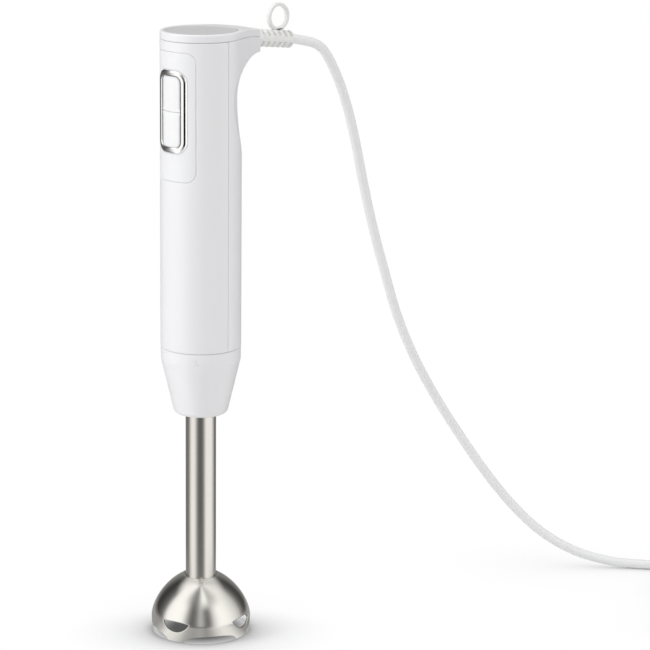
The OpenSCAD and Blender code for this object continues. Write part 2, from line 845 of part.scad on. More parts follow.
module commutator() color("goldenrod") {
    bars = 2 * armature_slots;
    difference() {
        union() {
            translate([0, 0, commutator_z]) cylinder(r = commutator_r, h = commutator_h);
            translate([0, 0, commutator_z]) cylinder(r = commutator_r + 1, h = 1.6);
        }
        cylinder(r = shaft_r + seat_gap, h = far * 3);
        for (i = [0:bars - 1]) rotate(360 * i / bars)
            translate([commutator_r - 0.6, -0.2, commutator_z - 1]) cube([3, 0.4, commutator_h + 2]);
    }
}

module cooling_fan() color("black") {
    difference() {
        translate([0, 0, fan_z]) {
            cylinder(r = shaft_r + 3, h = fan_h);
            translate([0, 0, fan_h - 1.4]) cylinder(r = fan_r, h = 1.4);
            for (i = [0:fan_blades - 1]) rotate(360 * i / fan_blades)
                translate([shaft_r + 2, 0, 0]) rotate(18)
                    translate([0, -0.5, 0]) cube([fan_r - shaft_r - 3.4, 1, fan_h - 1]);
        }
        cylinder(r = shaft_r + seat_gap, h = far * 3);
    }
}

// Cross with four teeth; gap makes it the socket's hollow
module dog_outline(gap) {
    circle(dog_core_r + gap);
    for (a = [0, 90]) rotate(a)
        square([2 * (dog_tooth_r + gap), dog_tooth_w + 2 * gap], center = true);
}

module drive_dog() color("ivory") {
    difference() {
        union() {
            translate([0, 0, dog_bottom]) linear_extrude(dog_top - dog_bottom) dog_outline(0);
            translate([0, 0, dog_top - eps]) cylinder(r = dog_tooth_r + 1, h = 6);
        }
        translate([0, 0, dog_bottom + 3 - seat_gap]) cylinder(r = shaft_r + seat_gap, h = far);
    }
}

// ---- Cord outlet ----

// The strain relief's own frame: Y runs along its axis from the beak's end
module relief_frame() {
    translate([0, beak_reach, relief_z]) rotate([-relief_tilt, 0, 0]) children();
}

module strain_relief() color("whitesmoke") {
    pitch = (relief_l - relief_plain_l - relief_flange_l - relief_slot_w) / (relief_slots - 1);
    loop_r = loop_hole_r + loop_t;
    relief_top_z = relief_z - (loop_y - beak_reach) * tan(relief_tilt) + relief_r / cos(relief_tilt);
    loop_z = relief_top_z + loop_r - 0.65;
    difference() {
        union() {
            difference() {
                relief_frame() translate([0, -relief_r, 0]) rotate([-90, 0, 0])
                    cylinder(r = relief_r, h = relief_l + relief_r);
                translate([-far / 2, relief_start - far, 0]) cube([far, far, far * 3]);
            }
            // Neck and plate that sit in the beak's end
            translate([0, neck_start, cord_z]) rotate([-90, 0, 0])
                cylinder(r = neck_r, h = wall + neck_plate_t + 1);
            translate([-neck_plate_w / 2, neck_start - 0.1, cord_z - neck_plate_low])
                cube([neck_plate_w, neck_plate_t, neck_plate_h]);
        }
        // Slots above and below, which leave a core and a web along each side
        relief_frame() for (i = [0:relief_slots - 1]) difference() {
            translate([-relief_d, relief_plain_l + pitch * i, -relief_d])
                cube([2 * relief_d, relief_slot_w, 2 * relief_d]);
            translate([-far / 2, 0, -relief_web]) cube([far, far, 2 * relief_web]);
            rotate([-90, 0, 0]) cylinder(r = relief_core_r, h = far);
        }
    }
    // Hanging loop on a short foot
    difference() {
        union() {
            translate([-loop_w / 2, loop_y, loop_z]) rotate([0, 90, 0])
                cylinder(r = loop_r, h = loop_w);
            translate([-loop_w / 2, loop_y - loop_foot_w / 2, relief_top_z - relief_r])
                cube([loop_w, loop_foot_w, relief_r + 0.2]);
        }
        translate([-loop_w, loop_y, loop_z]) rotate([0, 90, 0])
            cylinder(r = loop_hole_r, h = 2 * loop_w);
        relief_frame() rotate([-90, 0, 0]) cylinder(r = relief_core_r - 0.4, h = far);
    }
}

module inner_lead() color("white") {
    translate([0, lead_start, cord_z]) rotate([-90, 0, 0])
        cylinder(r = cord_r - 0.1, h = neck_start - 0.1 - seat_gap - lead_start);
    for (x = [-1, 1]) translate([x * 1.4, lead_start - lead_bare_l, cord_z]) rotate([-90, 0, 0])
        cylinder(r = 1.1, h = lead_bare_l + eps, $fn = 32);
}

module cord_clamp() color("dimgray") {
    difference() {
        translate([-clamp_w / 2, saddle_y + 0.5, cord_z + 0.2]) cube([clamp_w, saddle_l - 1, clamp_t]);
        translate([0, saddle_y - 1, cord_z]) rotate([-90, 0, 0]) cylinder(r = cord_r, h = saddle_l + 2);
        for (x = [-1, 1]) translate([x * clamp_screw_x, saddle_y + saddle_l / 2, 0])
            cylinder(r = clamp_screw_r + 0.25, h = far * 3);
    }
}

module clamp_screws() color("silver") {
    for (x = [-1, 1]) translate([x * clamp_screw_x, saddle_y + saddle_l / 2, cord_z - 6.4])
        screw(clamp_screw_r, clamp_t + 6.7, 2 * clamp_screw_r, 1);
}

// ---- Cord and plug ----

// A smooth curve through four points, at t from 0 to 1 between b and c
function spline(a, b, c, d, t) =
    0.5 * (2 * b + (c - a) * t + (2 * a - 5 * b + 4 * c - d) * t * t
           + (3 * b - 3 * c + d - a) * t * t * t);

function smooth(p, steps) = let (n = len(p)) concat(
    [for (i = [0:n - 2], s = [0:steps - 1])
        spline(p[max(i - 1, 0)], p[i], p[i + 1], p[min(i + 2, n - 1)], s / steps)],
    [p[n - 1]]);

// Round tube along a path; start is the direction that its first end faces
module sweep(path, r, sides, start) {
    n = len(path);
    pts = [for (i = [0:n - 1])
        let (t = i == 0 ? start : unit(path[min(i + 1, n - 1)] - path[i - 1]),
             u = unit(cross(t, [1, 0, 0])), v = cross(t, u))
        for (k = [0:sides - 1])
            let (a = 360 * k / sides)
            path[i] + r * cos(a) * u + r * sin(a) * v];
    faces = concat(
        [[for (k = [0:sides - 1]) k]],
        [for (i = [0:n - 2], k = [0:sides - 1])
            let (a = i * sides + k, b = i * sides + (k + 1) % sides)
            [a, a + sides, b + sides, b]],
        [[for (k = [sides - 1:-1:0]) (n - 1) * sides + k]]);
    polyhedron(pts, faces);
}

module power_cord() color("white") {
    sweep(smooth(CORD_POINTS, cord_substeps), cord_r, cord_sides,
          [0, cos(relief_tilt), -sin(relief_tilt)]);
}

module cord_coil() color("white") {
    translate([coil_c[0], coil_c[1], 0]) rotate_extrude()
        polygon([[coil_in_r - cord_r, 0.4], [coil_in_r - cord_r + 1, 0],
                 [coil_out_r + cord_r - 1, 0], [coil_out_r + cord_r, 0.4],
                 [coil_out_r + cord_r, 5], [coil_mid_r + cord_r, coil_top_z + 1.6],
                 [coil_mid_r + 1.6, coil_top_z + cord_r], [coil_mid_r - 1.6, coil_top_z + cord_r],
                 [coil_mid_r - cord_r, coil_top_z + 1.6], [coil_in_r - cord_r, 5]]);
}

// Tie over the coil: an arch whose legs stand on the surface
module cord_tie() color("black") {
    turn = 250;
    tie_t = 0.9;
    tie_w = 5;
    room = 0.3;
    low = coil_in_r - cord_r - room;
    high = coil_out_r + cord_r + room;
    top = coil_top_z + cord_r + 0.1;
    translate([coil_c[0], coil_c[1], 0]) rotate(turn) difference() {
        translate([low - tie_t, -tie_w / 2, 0]) cube([high - low + 2 * tie_t, tie_w, top + tie_t]);
        translate([low, -tie_w, -1]) cube([high - low, 2 * tie_w, top + 1]);
    }
}

// Straight run from the coil's top turn down to the plug's sleeve
module cord_tail() color("white") {
    sweep([[plug_x, plug_rear + plug_sleeve_l, plug_z],
           [plug_x, plug_rear + plug_sleeve_l + 4, plug_z],
           [plug_x, coil_c[1] - 4, coil_top_z], [plug_x, coil_c[1], coil_top_z]],
          cord_r, cord_sides, [0, 1, 0]);
}

module plug_body() color("white") {
    translate([plug_x, 0, plug_z]) {
        intersection() {
            push_y(plug_rear - plug_l, plug_rear) round_rect(plug_w, plug_t, 4);
            // Sides that draw in towards the cord
            linear_extrude(plug_t + 2, center = true) polygon([
                [-plug_w / 2, plug_rear - plug_l - 1], [plug_w / 2, plug_rear - plug_l - 1],
                [plug_w / 2, plug_rear - plug_l + 9], [plug_w / 4, plug_rear],
                [-plug_w / 4, plug_rear], [-plug_w / 2, plug_rear - plug_l + 9]]);
        }
        translate([0, plug_rear - eps, 0]) rotate([-90, 0, 0])
            cylinder(r1 = 5.6, r2 = cord_r + 0.9, h = plug_sleeve_l);
    }
}

module plug_pins() color("silver") {
    for (x = [-1, 1])
        translate([plug_x + x * pin_pitch / 2, plug_rear - plug_l - seat_gap, plug_z])
            rotate([90, 0, 0]) {
                cylinder(r = pin_r, h = pin_l - 1);
                translate([0, 0, pin_l - 1]) cylinder(r1 = pin_r, r2 = pin_r - 0.7, h = 1);
            }
}

// ---- Foot ----

module foot_collar() color("white") {
    rotate_extrude()
        polygon([[tube_r + seat_gap, collar_bottom], [collar_low_r - 2.6, collar_bottom],
                 [collar_low_r - 1, collar_bottom + 0.9], [collar_low_r - 0.2, collar_bottom + 2.4],
                 [collar_low_r, collar_bottom + 4.2],
                 [collar_r, seam_h - collar_band_h], [collar_r, seam_h - 0.4],
                 [collar_r - 0.4, seam_h], [spigot_r + slide_gap, seam_h],
                 [spigot_r + slide_gap, chamber_top], [chamber_r, chamber_top],
                 [chamber_r, chamber_floor + 2], [tube_r + seat_gap, chamber_floor]]);
    // Alignment mark for fitting the foot
    rotate(39) translate([0, -collar_r + 0.9, seam_h - collar_band_h + 2.6])
        rotate([90, 0, 0]) linear_extrude(1.3) polygon([[-1.5, -1.8], [1.5, -1.8], [0, 1.4]]);
}

module shaft_tube() color("lightsteelblue") {
    translate([0, 0, bell_h]) tube(tube_r, tube_r - tube_wall, tube_top - bell_h);
}

function bell_edge(z, inset) = z < bell_belly
    ? bell_r - inset - (bell_r - bell_rim_r) * pow((bell_belly - z) / bell_belly, 2)
    : (bell_r - inset) * sqrt(max(0, 1 - pow((z - bell_belly) / (bell_rise - inset), 2)));

module bell_form(inset, top) {
    rise = top - bell_belly;
    rotate_extrude() polygon(concat(
        [[0, -inset], [bell_edge(0, inset), -inset], [bell_edge(0, inset), 0],
         [bell_edge(bell_belly / 2, inset), bell_belly / 2]],
        [for (a = [0:7.5:90]) let (z = bell_belly + rise * sin(a)) [bell_edge(z, inset), z]],
        [[0, top]]));
}

module bell_guard() color("lightsteelblue") {
    vent_top = 13;
    difference() {
        bell_form(0, bell_h);
        bell_form(bell_wall, bell_h - bell_wall);
        translate([0, 0, bell_h - 5]) cylinder(r = bell_hole_r, h = 10);
        for (i = [0:3]) {
            // Vent: flat above, curved below
            rotate(vent_turn + 90 * i) push_y(-far / 2, -bell_r / 2)
                intersection() {
                    vent_curve_r = (pow(vent_w / 2, 2) + pow(vent_h, 2)) / (2 * vent_h);
                    translate([0, vent_top - vent_h + vent_curve_r]) circle(vent_curve_r);
                    translate([-vent_w / 2, vent_top - vent_h]) square([vent_w, vent_h]);
                }
            // Arch in the rim, between two vents
            rotate(vent_turn + 45 + 90 * i) push_y(-far / 2, -bell_r / 2)
                round_rect(arch_w, 2 * arch_h, 4);
        }
    }
}

module bush_part(z) color("darkgoldenrod") {
    translate([0, 0, z]) bush(tube_r - tube_wall - seat_gap, shaft_r + run_gap, bush_h);
}

module upper_bush() bush_part(tube_top - bush_h - 0.5);
module lower_bush() bush_part(bell_h + 2.5);

module shaft_seal() color("black") {
    translate([0, 0, seal_z]) rotate_extrude()
        polygon([[shaft_r + run_gap, 0], [shaft_r + 1.4, 0], [bell_hole_r - 0.6, 1.5],
                 [bell_hole_r - seat_gap, 4], [bell_hole_r - seat_gap, seal_h],
                 [shaft_r + run_gap, seal_h]]);
}

// ---- Spindle of the foot ----

module drive_shaft() color("silver") {
    difference() {
        translate([0, 0, shaft_bottom]) cylinder(r = shaft_r, h = shaft_end_z - shaft_bottom);
        // Groove for the circlip, just under the lower bush
        translate([0, 0, clip_z - 0.1]) tube(shaft_r + 1, shaft_r - 0.4, clip_t + 0.2);
    }
}

module drive_socket() color("dimgray") {
    difference() {
        translate([0, 0, socket_base]) bush(socket_r, shaft_r + seat_gap, socket_top - socket_base);
        translate([0, 0, socket_floor]) linear_extrude(far) dog_outline(dog_gap);
    }
}

// One wing: flat at the hub, its outer half twisted
module blade_wing(tilt) {
    root_l = blade_r * 0.55;
    translate([0, 0, blade_z]) {
        linear_extrude(blade_t) polygon([[0, -4.2], [root_l, -4.2], [root_l, 4.2], [0, 4.2]]);
        translate([root_l - 0.3, 0, 0]) rotate([tilt, 0, 0]) linear_extrude(blade_t)
            polygon([[0, -4.1], [blade_r * 0.36, -3.4], [blade_r * 0.45, 0.5],
                     [blade_r * 0.36, 3.4], [0, 4.1]]);
    }
}

module blade() color("lightgray") {
    difference() {
        union() {
            for (a = [0, 180]) rotate(a) blade_wing(14);
            translate([0, 0, blade_z]) cylinder(r = 6, h = blade_t);
            translate([0, 0, blade_z + blade_t - eps]) cylinder(r = 4.6, h = 5);
        }
        translate([0, 0, blade_z - 5]) cylinder(r = shaft_r + seat_gap, h = 20);
    }
}

module blade_nut() color("silver") {
    difference() {
        translate([0, 0, blade_z - nut_h - seat_gap]) cylinder(r = nut_r, h = nut_h, $fn = 6);
        translate([0, 0, blade_z - nut_h - 1]) cylinder(r = shaft_r + seat_gap, h = nut_h + 2);
    }
}

module circlip() color("dimgray") {
    difference() {
        translate([0, 0, clip_z]) tube(shaft_r + 1.6, shaft_r - 0.4 + seat_gap, clip_t);
        translate([0, -clip_open / 2, clip_z - clip_t]) cube([2 * shaft_r, clip_open, 3 * clip_t]);
    }
}

// ---- Output ----

front_housing();
rear_housing();
top_cap();
cap_inlay();
button_panel();
button_bezel();
upper_button();
lower_button();
upper_spring();
lower_spring();
switch_board();
upper_switch();
lower_switch();
upper_plunger();
lower_plunger();
capacitor();
housing_screws();
motor_base();
lower_bearing();
upper_bracket();
upper_bearing();
stator_core();
field_coils();
brush_holders();
carbon_brushes();
motor_shaft();
armature_core();
armature_windings();
commutator();
cooling_fan();
drive_dog();
strain_relief();
cord_clamp();
clamp_screws();
inner_lead();
power_cord();
cord_coil();
cord_tie();
cord_tail();
plug_body();
plug_pins();
foot_collar();
shaft_tube();
bell_guard();
upper_bush();
lower_bush();
shaft_seal();
drive_shaft();
drive_socket();
blade();
blade_nut();
circlip();
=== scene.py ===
import bpy, bmesh, json, math
import numpy as np
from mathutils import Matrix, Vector


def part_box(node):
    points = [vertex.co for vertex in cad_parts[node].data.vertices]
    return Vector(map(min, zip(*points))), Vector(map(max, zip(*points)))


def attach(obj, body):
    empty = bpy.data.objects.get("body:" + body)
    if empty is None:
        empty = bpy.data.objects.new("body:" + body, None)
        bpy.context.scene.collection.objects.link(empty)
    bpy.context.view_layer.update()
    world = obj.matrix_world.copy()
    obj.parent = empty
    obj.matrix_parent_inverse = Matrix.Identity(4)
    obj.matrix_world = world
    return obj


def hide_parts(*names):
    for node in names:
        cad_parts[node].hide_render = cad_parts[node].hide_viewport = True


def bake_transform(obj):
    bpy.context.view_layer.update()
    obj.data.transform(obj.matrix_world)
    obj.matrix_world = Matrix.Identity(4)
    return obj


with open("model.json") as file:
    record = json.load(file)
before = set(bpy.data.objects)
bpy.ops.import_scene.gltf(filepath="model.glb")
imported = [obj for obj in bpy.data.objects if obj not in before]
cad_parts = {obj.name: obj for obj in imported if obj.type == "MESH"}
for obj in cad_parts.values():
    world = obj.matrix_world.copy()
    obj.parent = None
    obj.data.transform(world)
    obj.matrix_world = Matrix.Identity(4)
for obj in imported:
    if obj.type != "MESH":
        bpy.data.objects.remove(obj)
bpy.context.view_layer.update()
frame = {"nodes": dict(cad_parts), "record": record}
nodes = frame["nodes"]
pi = math.pi
print("frame loaded:", len(nodes), "nodes")


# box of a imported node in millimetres
def boxOf(node):
    low, high = (np.array(corner, float) * 1000 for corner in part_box(node))
    sides = {"low": low, "high": high, "middle": (low + high) / 2, "size": high - low}
    return {key: [round(float(v), 2) for v in values] for key, values in sides.items()}


def mountOf(name):
    return next(m for m in frame["record"]["mounts"] if m["name"] == name)


# camera at the height of a table-top studio shot, a little to the right of the buttons
cameraSet = {"azimuth": 48, "reach": 1800, "height": 648, "pitch": 13.75, "lens": 158.12, "shift": 0.191}


def makeCamera(s):
    a, p = math.radians(s["azimuth"]), math.radians(s["pitch"])
    data = bpy.data.cameras.new("camera")
    data.lens, data.sensor_width, data.shift_x = s["lens"], 36, s["shift"]
    data.clip_start, data.clip_end = 0.05, 30
    camera = bpy.data.objects.new("camera", data)
    bpy.context.scene.collection.objects.link(camera)
    camera.location = Vector((math.sin(a) * s["reach"], -math.cos(a) * s["reach"], s["height"])) / 1000
    look = Vector((-math.sin(a) * math.cos(p), math.cos(a) * math.cos(p), -math.sin(p)))
    camera.rotation_mode = "QUATERNION"
    camera.rotation_quaternion = look.to_track_quat("-Z", "Y")
    bpy.context.scene.camera = camera


makeCamera(cameraSet)


# a shader socket that can be used in sums, so a pattern reads as a formula
class Signal:
    def __init__(self, finish, socket):
        self.finish, self.socket = finish, socket

    def sum(self, operation, a, b):
        return self.finish.add("ShaderNodeMath", {"operation": operation}, {0: a, 1: b})

    def __add__(self, other): return self.sum("ADD", self, other)
    def __radd__(self, other): return self.sum("ADD", other, self)
    def __mul__(self, other): return self.sum("MULTIPLY", self, other)
    def __rmul__(self, other): return self.sum("MULTIPLY", other, self)
    def __truediv__(self, other): return self.sum("DIVIDE", self, other)
    def __pow__(self, other): return self.sum("POWER", self, other)


# one material: each of its nodes comes from add, with its settings first and then its sockets
class Finish:
    def __init__(self, name, world=None):
        self.material = world or bpy.data.materials.new(name)
        self.material.use_nodes = True
        self.tree = self.material.node_tree
        self.tree.nodes.clear()
        self.out = self.tree.nodes.new("ShaderNodeOutputWorld" if world else "ShaderNodeOutputMaterial")

    def add(self, kind, settings=None, sockets=None, out=0):
        node = self.tree.nodes.new(kind)
        for key, value in (settings or {}).items():
            if key == "stops":
                ramp = node.color_ramp
                while len(ramp.elements) < len(value):
                    ramp.elements.new(0.5)
                for element, (place, shade) in zip(ramp.elements, value):
                    element.position, element.color = place, shade
            else:
                setattr(node, key, value)
        for key, value in (sockets or {}).items():
            if isinstance(value, Signal):
                self.tree.links.new(value.socket, node.inputs[key])
            else:
                node.inputs[key].default_value = value
        return Signal(self, node.outputs[out])

    # the piece's own coordinates in millimetres, stretched by how many marks per millimetre
    def place(self, stretch=(1, 1, 1), centre=(0, 0, 0)):
        spot = self.add("ShaderNodeTexCoord", out=3)
        scale = tuple(1000 * v for v in stretch)
        shift = tuple(-1000 * c * v for c, v in zip(centre, stretch))
        return self.add("ShaderNodeMapping", None, {"Vector": spot, "Scale": scale, "Location": shift})

    def noise(self, spot, scale=1.0, detail=2.0, rough=0.5):
        return self.add("ShaderNodeTexNoise", None,
                        {"Vector": spot, "Scale": scale, "Detail": detail, "Roughness": rough})

    def blendColour(self, factor, a, b):
        return self.add("ShaderNodeMix", {"data_type": "RGBA"}, {0: factor, 6: a, 7: b}, out=2)

    def bump(self, height, strength, depth):
        return self.add("ShaderNodeBump", None, {"Height": height, "Strength": strength, "Distance": depth})

    def close(self, sockets):
        return self.surface(self.add("ShaderNodeBsdfPrincipled", None, sockets))

    def surface(self, shader):
        self.tree.links.new(shader.socket, self.out.inputs["Surface"])
        return self.material


def grey(v):
    return (v, v, v, 1)


# a colour a little darker, for the low places of a pattern
def darker(colour, share):
    return tuple(c * share for c in colour[:3]) + (1,)


# moulded plastic: very slight mottling, a faint ripple in the gloss
def mouldedPlastic(name, colour, rough=0.3, grain=0.0, coat=0.0, grainSize=2.2):
    f = Finish(name)
    cloud = f.noise(f.place((0.03, 0.03, 0.03)), 1.0, 3)
    look = {"Base Color": f.blendColour(cloud, darker(colour, 0.985), colour),
            "Roughness": rough - 0.04 + 0.08 * cloud, "IOR": 1.49, "Coat Weight": coat,
            "Coat Roughness": 0.06}
    if grain:
        look["Normal"] = f.bump(f.noise(f.place(), grainSize, 3), 0.25, grain)
    return f.close(look)


# drawn or turned steel with fine lines along or round the piece
def brushedSteel(name, colour, rough, lines, depth=0.000012, spread=0.14):
    f = Finish(name)
    streak = f.noise(f.place(lines), 1.0, 4, 0.6)
    cloud = f.noise(f.place((0.04, 0.04, 0.04)), 1.0, 2)
    colours = f.blendColour(streak * 0.7 + cloud * 0.3, darker(colour, 0.82), colour)
    return f.close({"Base Color": colours, "Metallic": 1.0, "Roughness": rough - spread / 2 + spread * streak,
                    "Normal": f.bump(streak, 0.35, depth)})


# steel spun on a lathe: rings round the drive axis
def spunSteel(name, colour, rough, pitch=0.22, depth=0.000008):
    f = Finish(name)
    spot = f.place()
    flat = f.add("ShaderNodeVectorMath", {"operation": "MULTIPLY"}, {0: spot, 1: (1, 1, 0)})
    radius = f.add("ShaderNodeVectorMath", {"operation": "LENGTH"}, {0: flat}, out=1)
    height = f.add("ShaderNodeSeparateXYZ", None, {0: spot}, out=2)
    ringSpot = f.add("ShaderNodeCombineXYZ", None, {0: radius / pitch, 1: height / pitch, 2: 0.0})
    ring = f.noise(ringSpot, 1.0, 4, 0.65)
    cloud = f.noise(f.place((0.05, 0.05, 0.05)), 1.0, 2)
    colours = f.blendColour(ring * 0.6 + cloud * 0.4, darker(colour, 0.85), colour)
    return f.close({"Base Color": colours, "Metallic": 1.0, "Roughness": rough - 0.04 + 0.08 * ring,
                    "Normal": f.bump(ring, 0.3, depth)})


# bright plate with a faint haze
def chromePlate(name, colour, rough=0.035):
    f = Finish(name)
    haze = f.noise(f.place((0.3, 0.3, 0.3)), 1.0, 3)
    return f.close({"Base Color": f.blendColour(haze, darker(colour, 0.96), colour), "Metallic": 1.0,
                    "Roughness": rough + 0.03 * haze})


# soft cable sheath or rubber: fine specks in the gloss, with a grain on the rougher ones
def softSheath(name, colour, rough=0.5, speck=1.4, grain=0.0):
    f = Finish(name)
    cloud = f.noise(f.place((0.08, 0.08, 0.08)), 1.0, 3)
    fine = f.noise(f.place(), speck, 4, 0.6)
    look = {"Base Color": f.blendColour(cloud, darker(colour, 0.97), colour),
            "Roughness": rough - 0.06 + 0.12 * fine, "IOR": 1.5}
    if grain:
        look["Normal"] = f.bump(fine, 0.3, grain)
    return f.close(look)


# enamelled wire wound in bundles
def woundWire(name, colour):
    f = Finish(name)
    height = f.add("ShaderNodeTexWave", {"wave_type": "BANDS", "bands_direction": "Z"},
                   {"Vector": f.place(), "Scale": 0.35, "Distortion": 1.5, "Detail": 2.0})
    cloud = f.noise(f.place((0.6, 0.6, 2.2)), 1.0, 2)
    colours = f.blendColour(height * 0.6 + cloud * 0.4, darker(colour, 0.45), colour)
    return f.close({"Base Color": colours, "Metallic": 0.55, "Roughness": 0.34 + 0.1 * cloud,
                    "Normal": f.bump(height, 0.6, 0.0002)})


# stacked sheets of motor steel
def stackedSheets(name, colour):
    f = Finish(name)
    layer = f.add("ShaderNodeTexWave", {"wave_type": "BANDS", "bands_direction": "Z"},
                  {"Vector": f.place(), "Scale": 0.32, "Distortion": 0.3, "Detail": 1.0})
    cloud = f.noise(f.place((0.2, 0.2, 0.2)), 1.0, 3)
    colours = f.blendColour(layer * 0.6 + cloud * 0.4, darker(colour, 0.5), colour)
    return f.close({"Base Color": colours, "Metallic": 0.8, "Roughness": 0.42 + 0.12 * cloud,
                    "Normal": f.bump(layer, 0.5, 0.00015)})


finishes = {
    "shellWhite": mouldedPlastic("shellWhite", (0.855, 0.85, 0.86, 1), 0.3),
    "panelWhite": mouldedPlastic("panelWhite", (0.86, 0.86, 0.87, 1), 0.36, 0.00002),
    "keyWhite": mouldedPlastic("keyWhite", (0.88, 0.88, 0.885, 1), 0.3),
    "inlayGrey": mouldedPlastic("inlayGrey", (0.61, 0.61, 0.615, 1), 0.36, 0.00003),
    "bezelChrome": chromePlate("bezelChrome", (0.93, 0.935, 0.945, 1)),
    "tubeSteel": brushedSteel("tubeSteel", (0.82, 0.80, 0.77, 1), 0.22, (5, 5, 0.02)),
    "bellSteel": spunSteel("bellSteel", (0.86, 0.845, 0.82, 1), 0.17),
    "bladeSteel": brushedSteel("bladeSteel", (0.66, 0.66, 0.66, 1), 0.2, (0.06, 5, 5)),
    "turnedSteel": brushedSteel("turnedSteel", (0.6, 0.6, 0.61, 1), 0.24, (0.3, 0.3, 6)),
    "screwSteel": chromePlate("screwSteel", (0.62, 0.62, 0.63, 1), 0.2),
    "bearingSteel": chromePlate("bearingSteel", (0.66, 0.66, 0.68, 1), 0.14),
    "pinNickel": chromePlate("pinNickel", (0.74, 0.73, 0.70, 1), 0.16),
    "brassBright": brushedSteel("brassBright", (0.78, 0.58, 0.26, 1), 0.3, (3, 3, 3)),
    "bushBronze": brushedSteel("bushBronze", (0.52, 0.34, 0.17, 1), 0.38, (2, 2, 5)),
    "reliefWhite": softSheath("reliefWhite", (0.84, 0.835, 0.82, 1), 0.48),
    "cordWhite": softSheath("cordWhite", (0.86, 0.86, 0.855, 1), 0.46),
    "plugWhite": mouldedPlastic("plugWhite", (0.84, 0.84, 0.835, 1), 0.42, 0.00004),
    "tieBlack": softSheath("tieBlack", (0.03, 0.03, 0.03, 1), 0.55, 1.4, 0.00002),
    "sealBlack": softSheath("sealBlack", (0.025, 0.025, 0.025, 1), 0.5, 1.4, 0.00001),
    "frameBlack": mouldedPlastic("frameBlack", (0.035, 0.036, 0.038, 1), 0.45, 0.00008, 0.0, 1.2),
    "dogNylon": mouldedPlastic("dogNylon", (0.70, 0.67, 0.56, 1), 0.42, 0.00004),
    "carbonBlack": mouldedPlastic("carbonBlack", (0.03, 0.03, 0.032, 1), 0.62, 0.0001, 0.0, 3),
    "boardGreen": mouldedPlastic("boardGreen", (0.03, 0.18, 0.08, 1), 0.34, 0.00003),
    "plungerRed": mouldedPlastic("plungerRed", (0.5, 0.03, 0.02, 1), 0.34),
    "capacitorBlue": mouldedPlastic("capacitorBlue", (0.04, 0.12, 0.42, 1), 0.26, 0.0, 0.3),
    "windingCopper": woundWire("windingCopper", (0.62, 0.26, 0.1, 1)),
    "coreSteel": stackedSheets("coreSteel", (0.34, 0.35, 0.37, 1)),
}

nodeFinish = {
    "front_housing": "shellWhite", "rear_housing": "shellWhite", "top_cap": "shellWhite",
    "cap_inlay": "inlayGrey", "button_panel": "panelWhite", "button_bezel": "bezelChrome",
    "upper_button": "keyWhite", "lower_button": "keyWhite", "upper_spring": "turnedSteel",
    "lower_spring": "turnedSteel", "switch_board": "boardGreen", "upper_switch": "frameBlack",
    "lower_switch": "frameBlack", "upper_plunger": "plungerRed", "lower_plunger": "plungerRed",
    "capacitor": "capacitorBlue", "housing_screws": "screwSteel", "motor_base": "frameBlack",
    "lower_bearing": "bearingSteel", "upper_bracket": "frameBlack", "upper_bearing": "bearingSteel",
    "stator_core": "coreSteel", "field_coils": "windingCopper", "brush_holders": "brassBright",
    "carbon_brushes": "carbonBlack", "motor_shaft": "turnedSteel", "armature_core": "coreSteel",
    "armature_windings": "windingCopper", "commutator": "brassBright", "cooling_fan": "frameBlack",
    "drive_dog": "dogNylon", "strain_relief": "reliefWhite", "cord_clamp": "frameBlack",
    "clamp_screws": "screwSteel", "inner_lead": "cordWhite", "power_cord": "cordWhite",
    "cord_coil": "cordWhite", "cord_tie": "tieBlack", "cord_tail": "cordWhite",
    "plug_body": "plugWhite", "plug_pins": "pinNickel", "foot_collar": "shellWhite",
    "shaft_tube": "tubeSteel", "bell_guard": "bellSteel", "upper_bush": "bushBronze",
    "lower_bush": "bushBronze", "shaft_seal": "sealBlack", "drive_shaft": "turnedSteel",
    "drive_socket": "dogNylon", "blade": "bladeSteel", "blade_nut": "screwSteel",
    "circlip": "turnedSteel",
}
for name, finish in nodeFinish.items():
    node = nodes[name]
    node.data.materials.clear()
    node.data.materials.append(finishes[finish])
print("finishes made:", len(finishes))


# a mesh object from points in millimetres
def solid(name, points, faces, finish, smooth=35):
    mesh = bpy.data.meshes.new(name)
    mesh.from_pydata([(float(x) / 1000, float(y) / 1000, float(z) / 1000) for x, y, z in points], [],
                     [tuple(int(i) for i in f) for f in faces])
    mesh.validate()
    mesh.materials.append(finishes[finish])
    mesh.shade_smooth()
    mesh.set_sharp_from_angle(angle=math.radians(smooth))
    piece = bpy.data.objects.new(name, mesh)
    bpy.context.scene.collection.objects.link(piece)
    return piece


# quads between rings of n points each, and the faces that close the first and last ring
def ringFaces(rings, n):
    return [(j * n + i, j * n + (i + 1) % n, (j + 1) * n + (i + 1) % n, (j + 1) * n + i)
            for j in range(rings - 1) for i in range(n)]


def endFaces(rings, n):
    return [tuple(range(n))[::-1], tuple((rings - 1) * n + i for i in range(n))]


def turnOutwards(piece):
    work = bmesh.new()
    work.from_mesh(piece.data)
    bmesh.ops.remove_doubles(work, verts=work.verts, dist=1e-6)
    bmesh.ops.recalc_face_normals(work, faces=work.faces)
    work.to_mesh(piece.data)
    work.free()


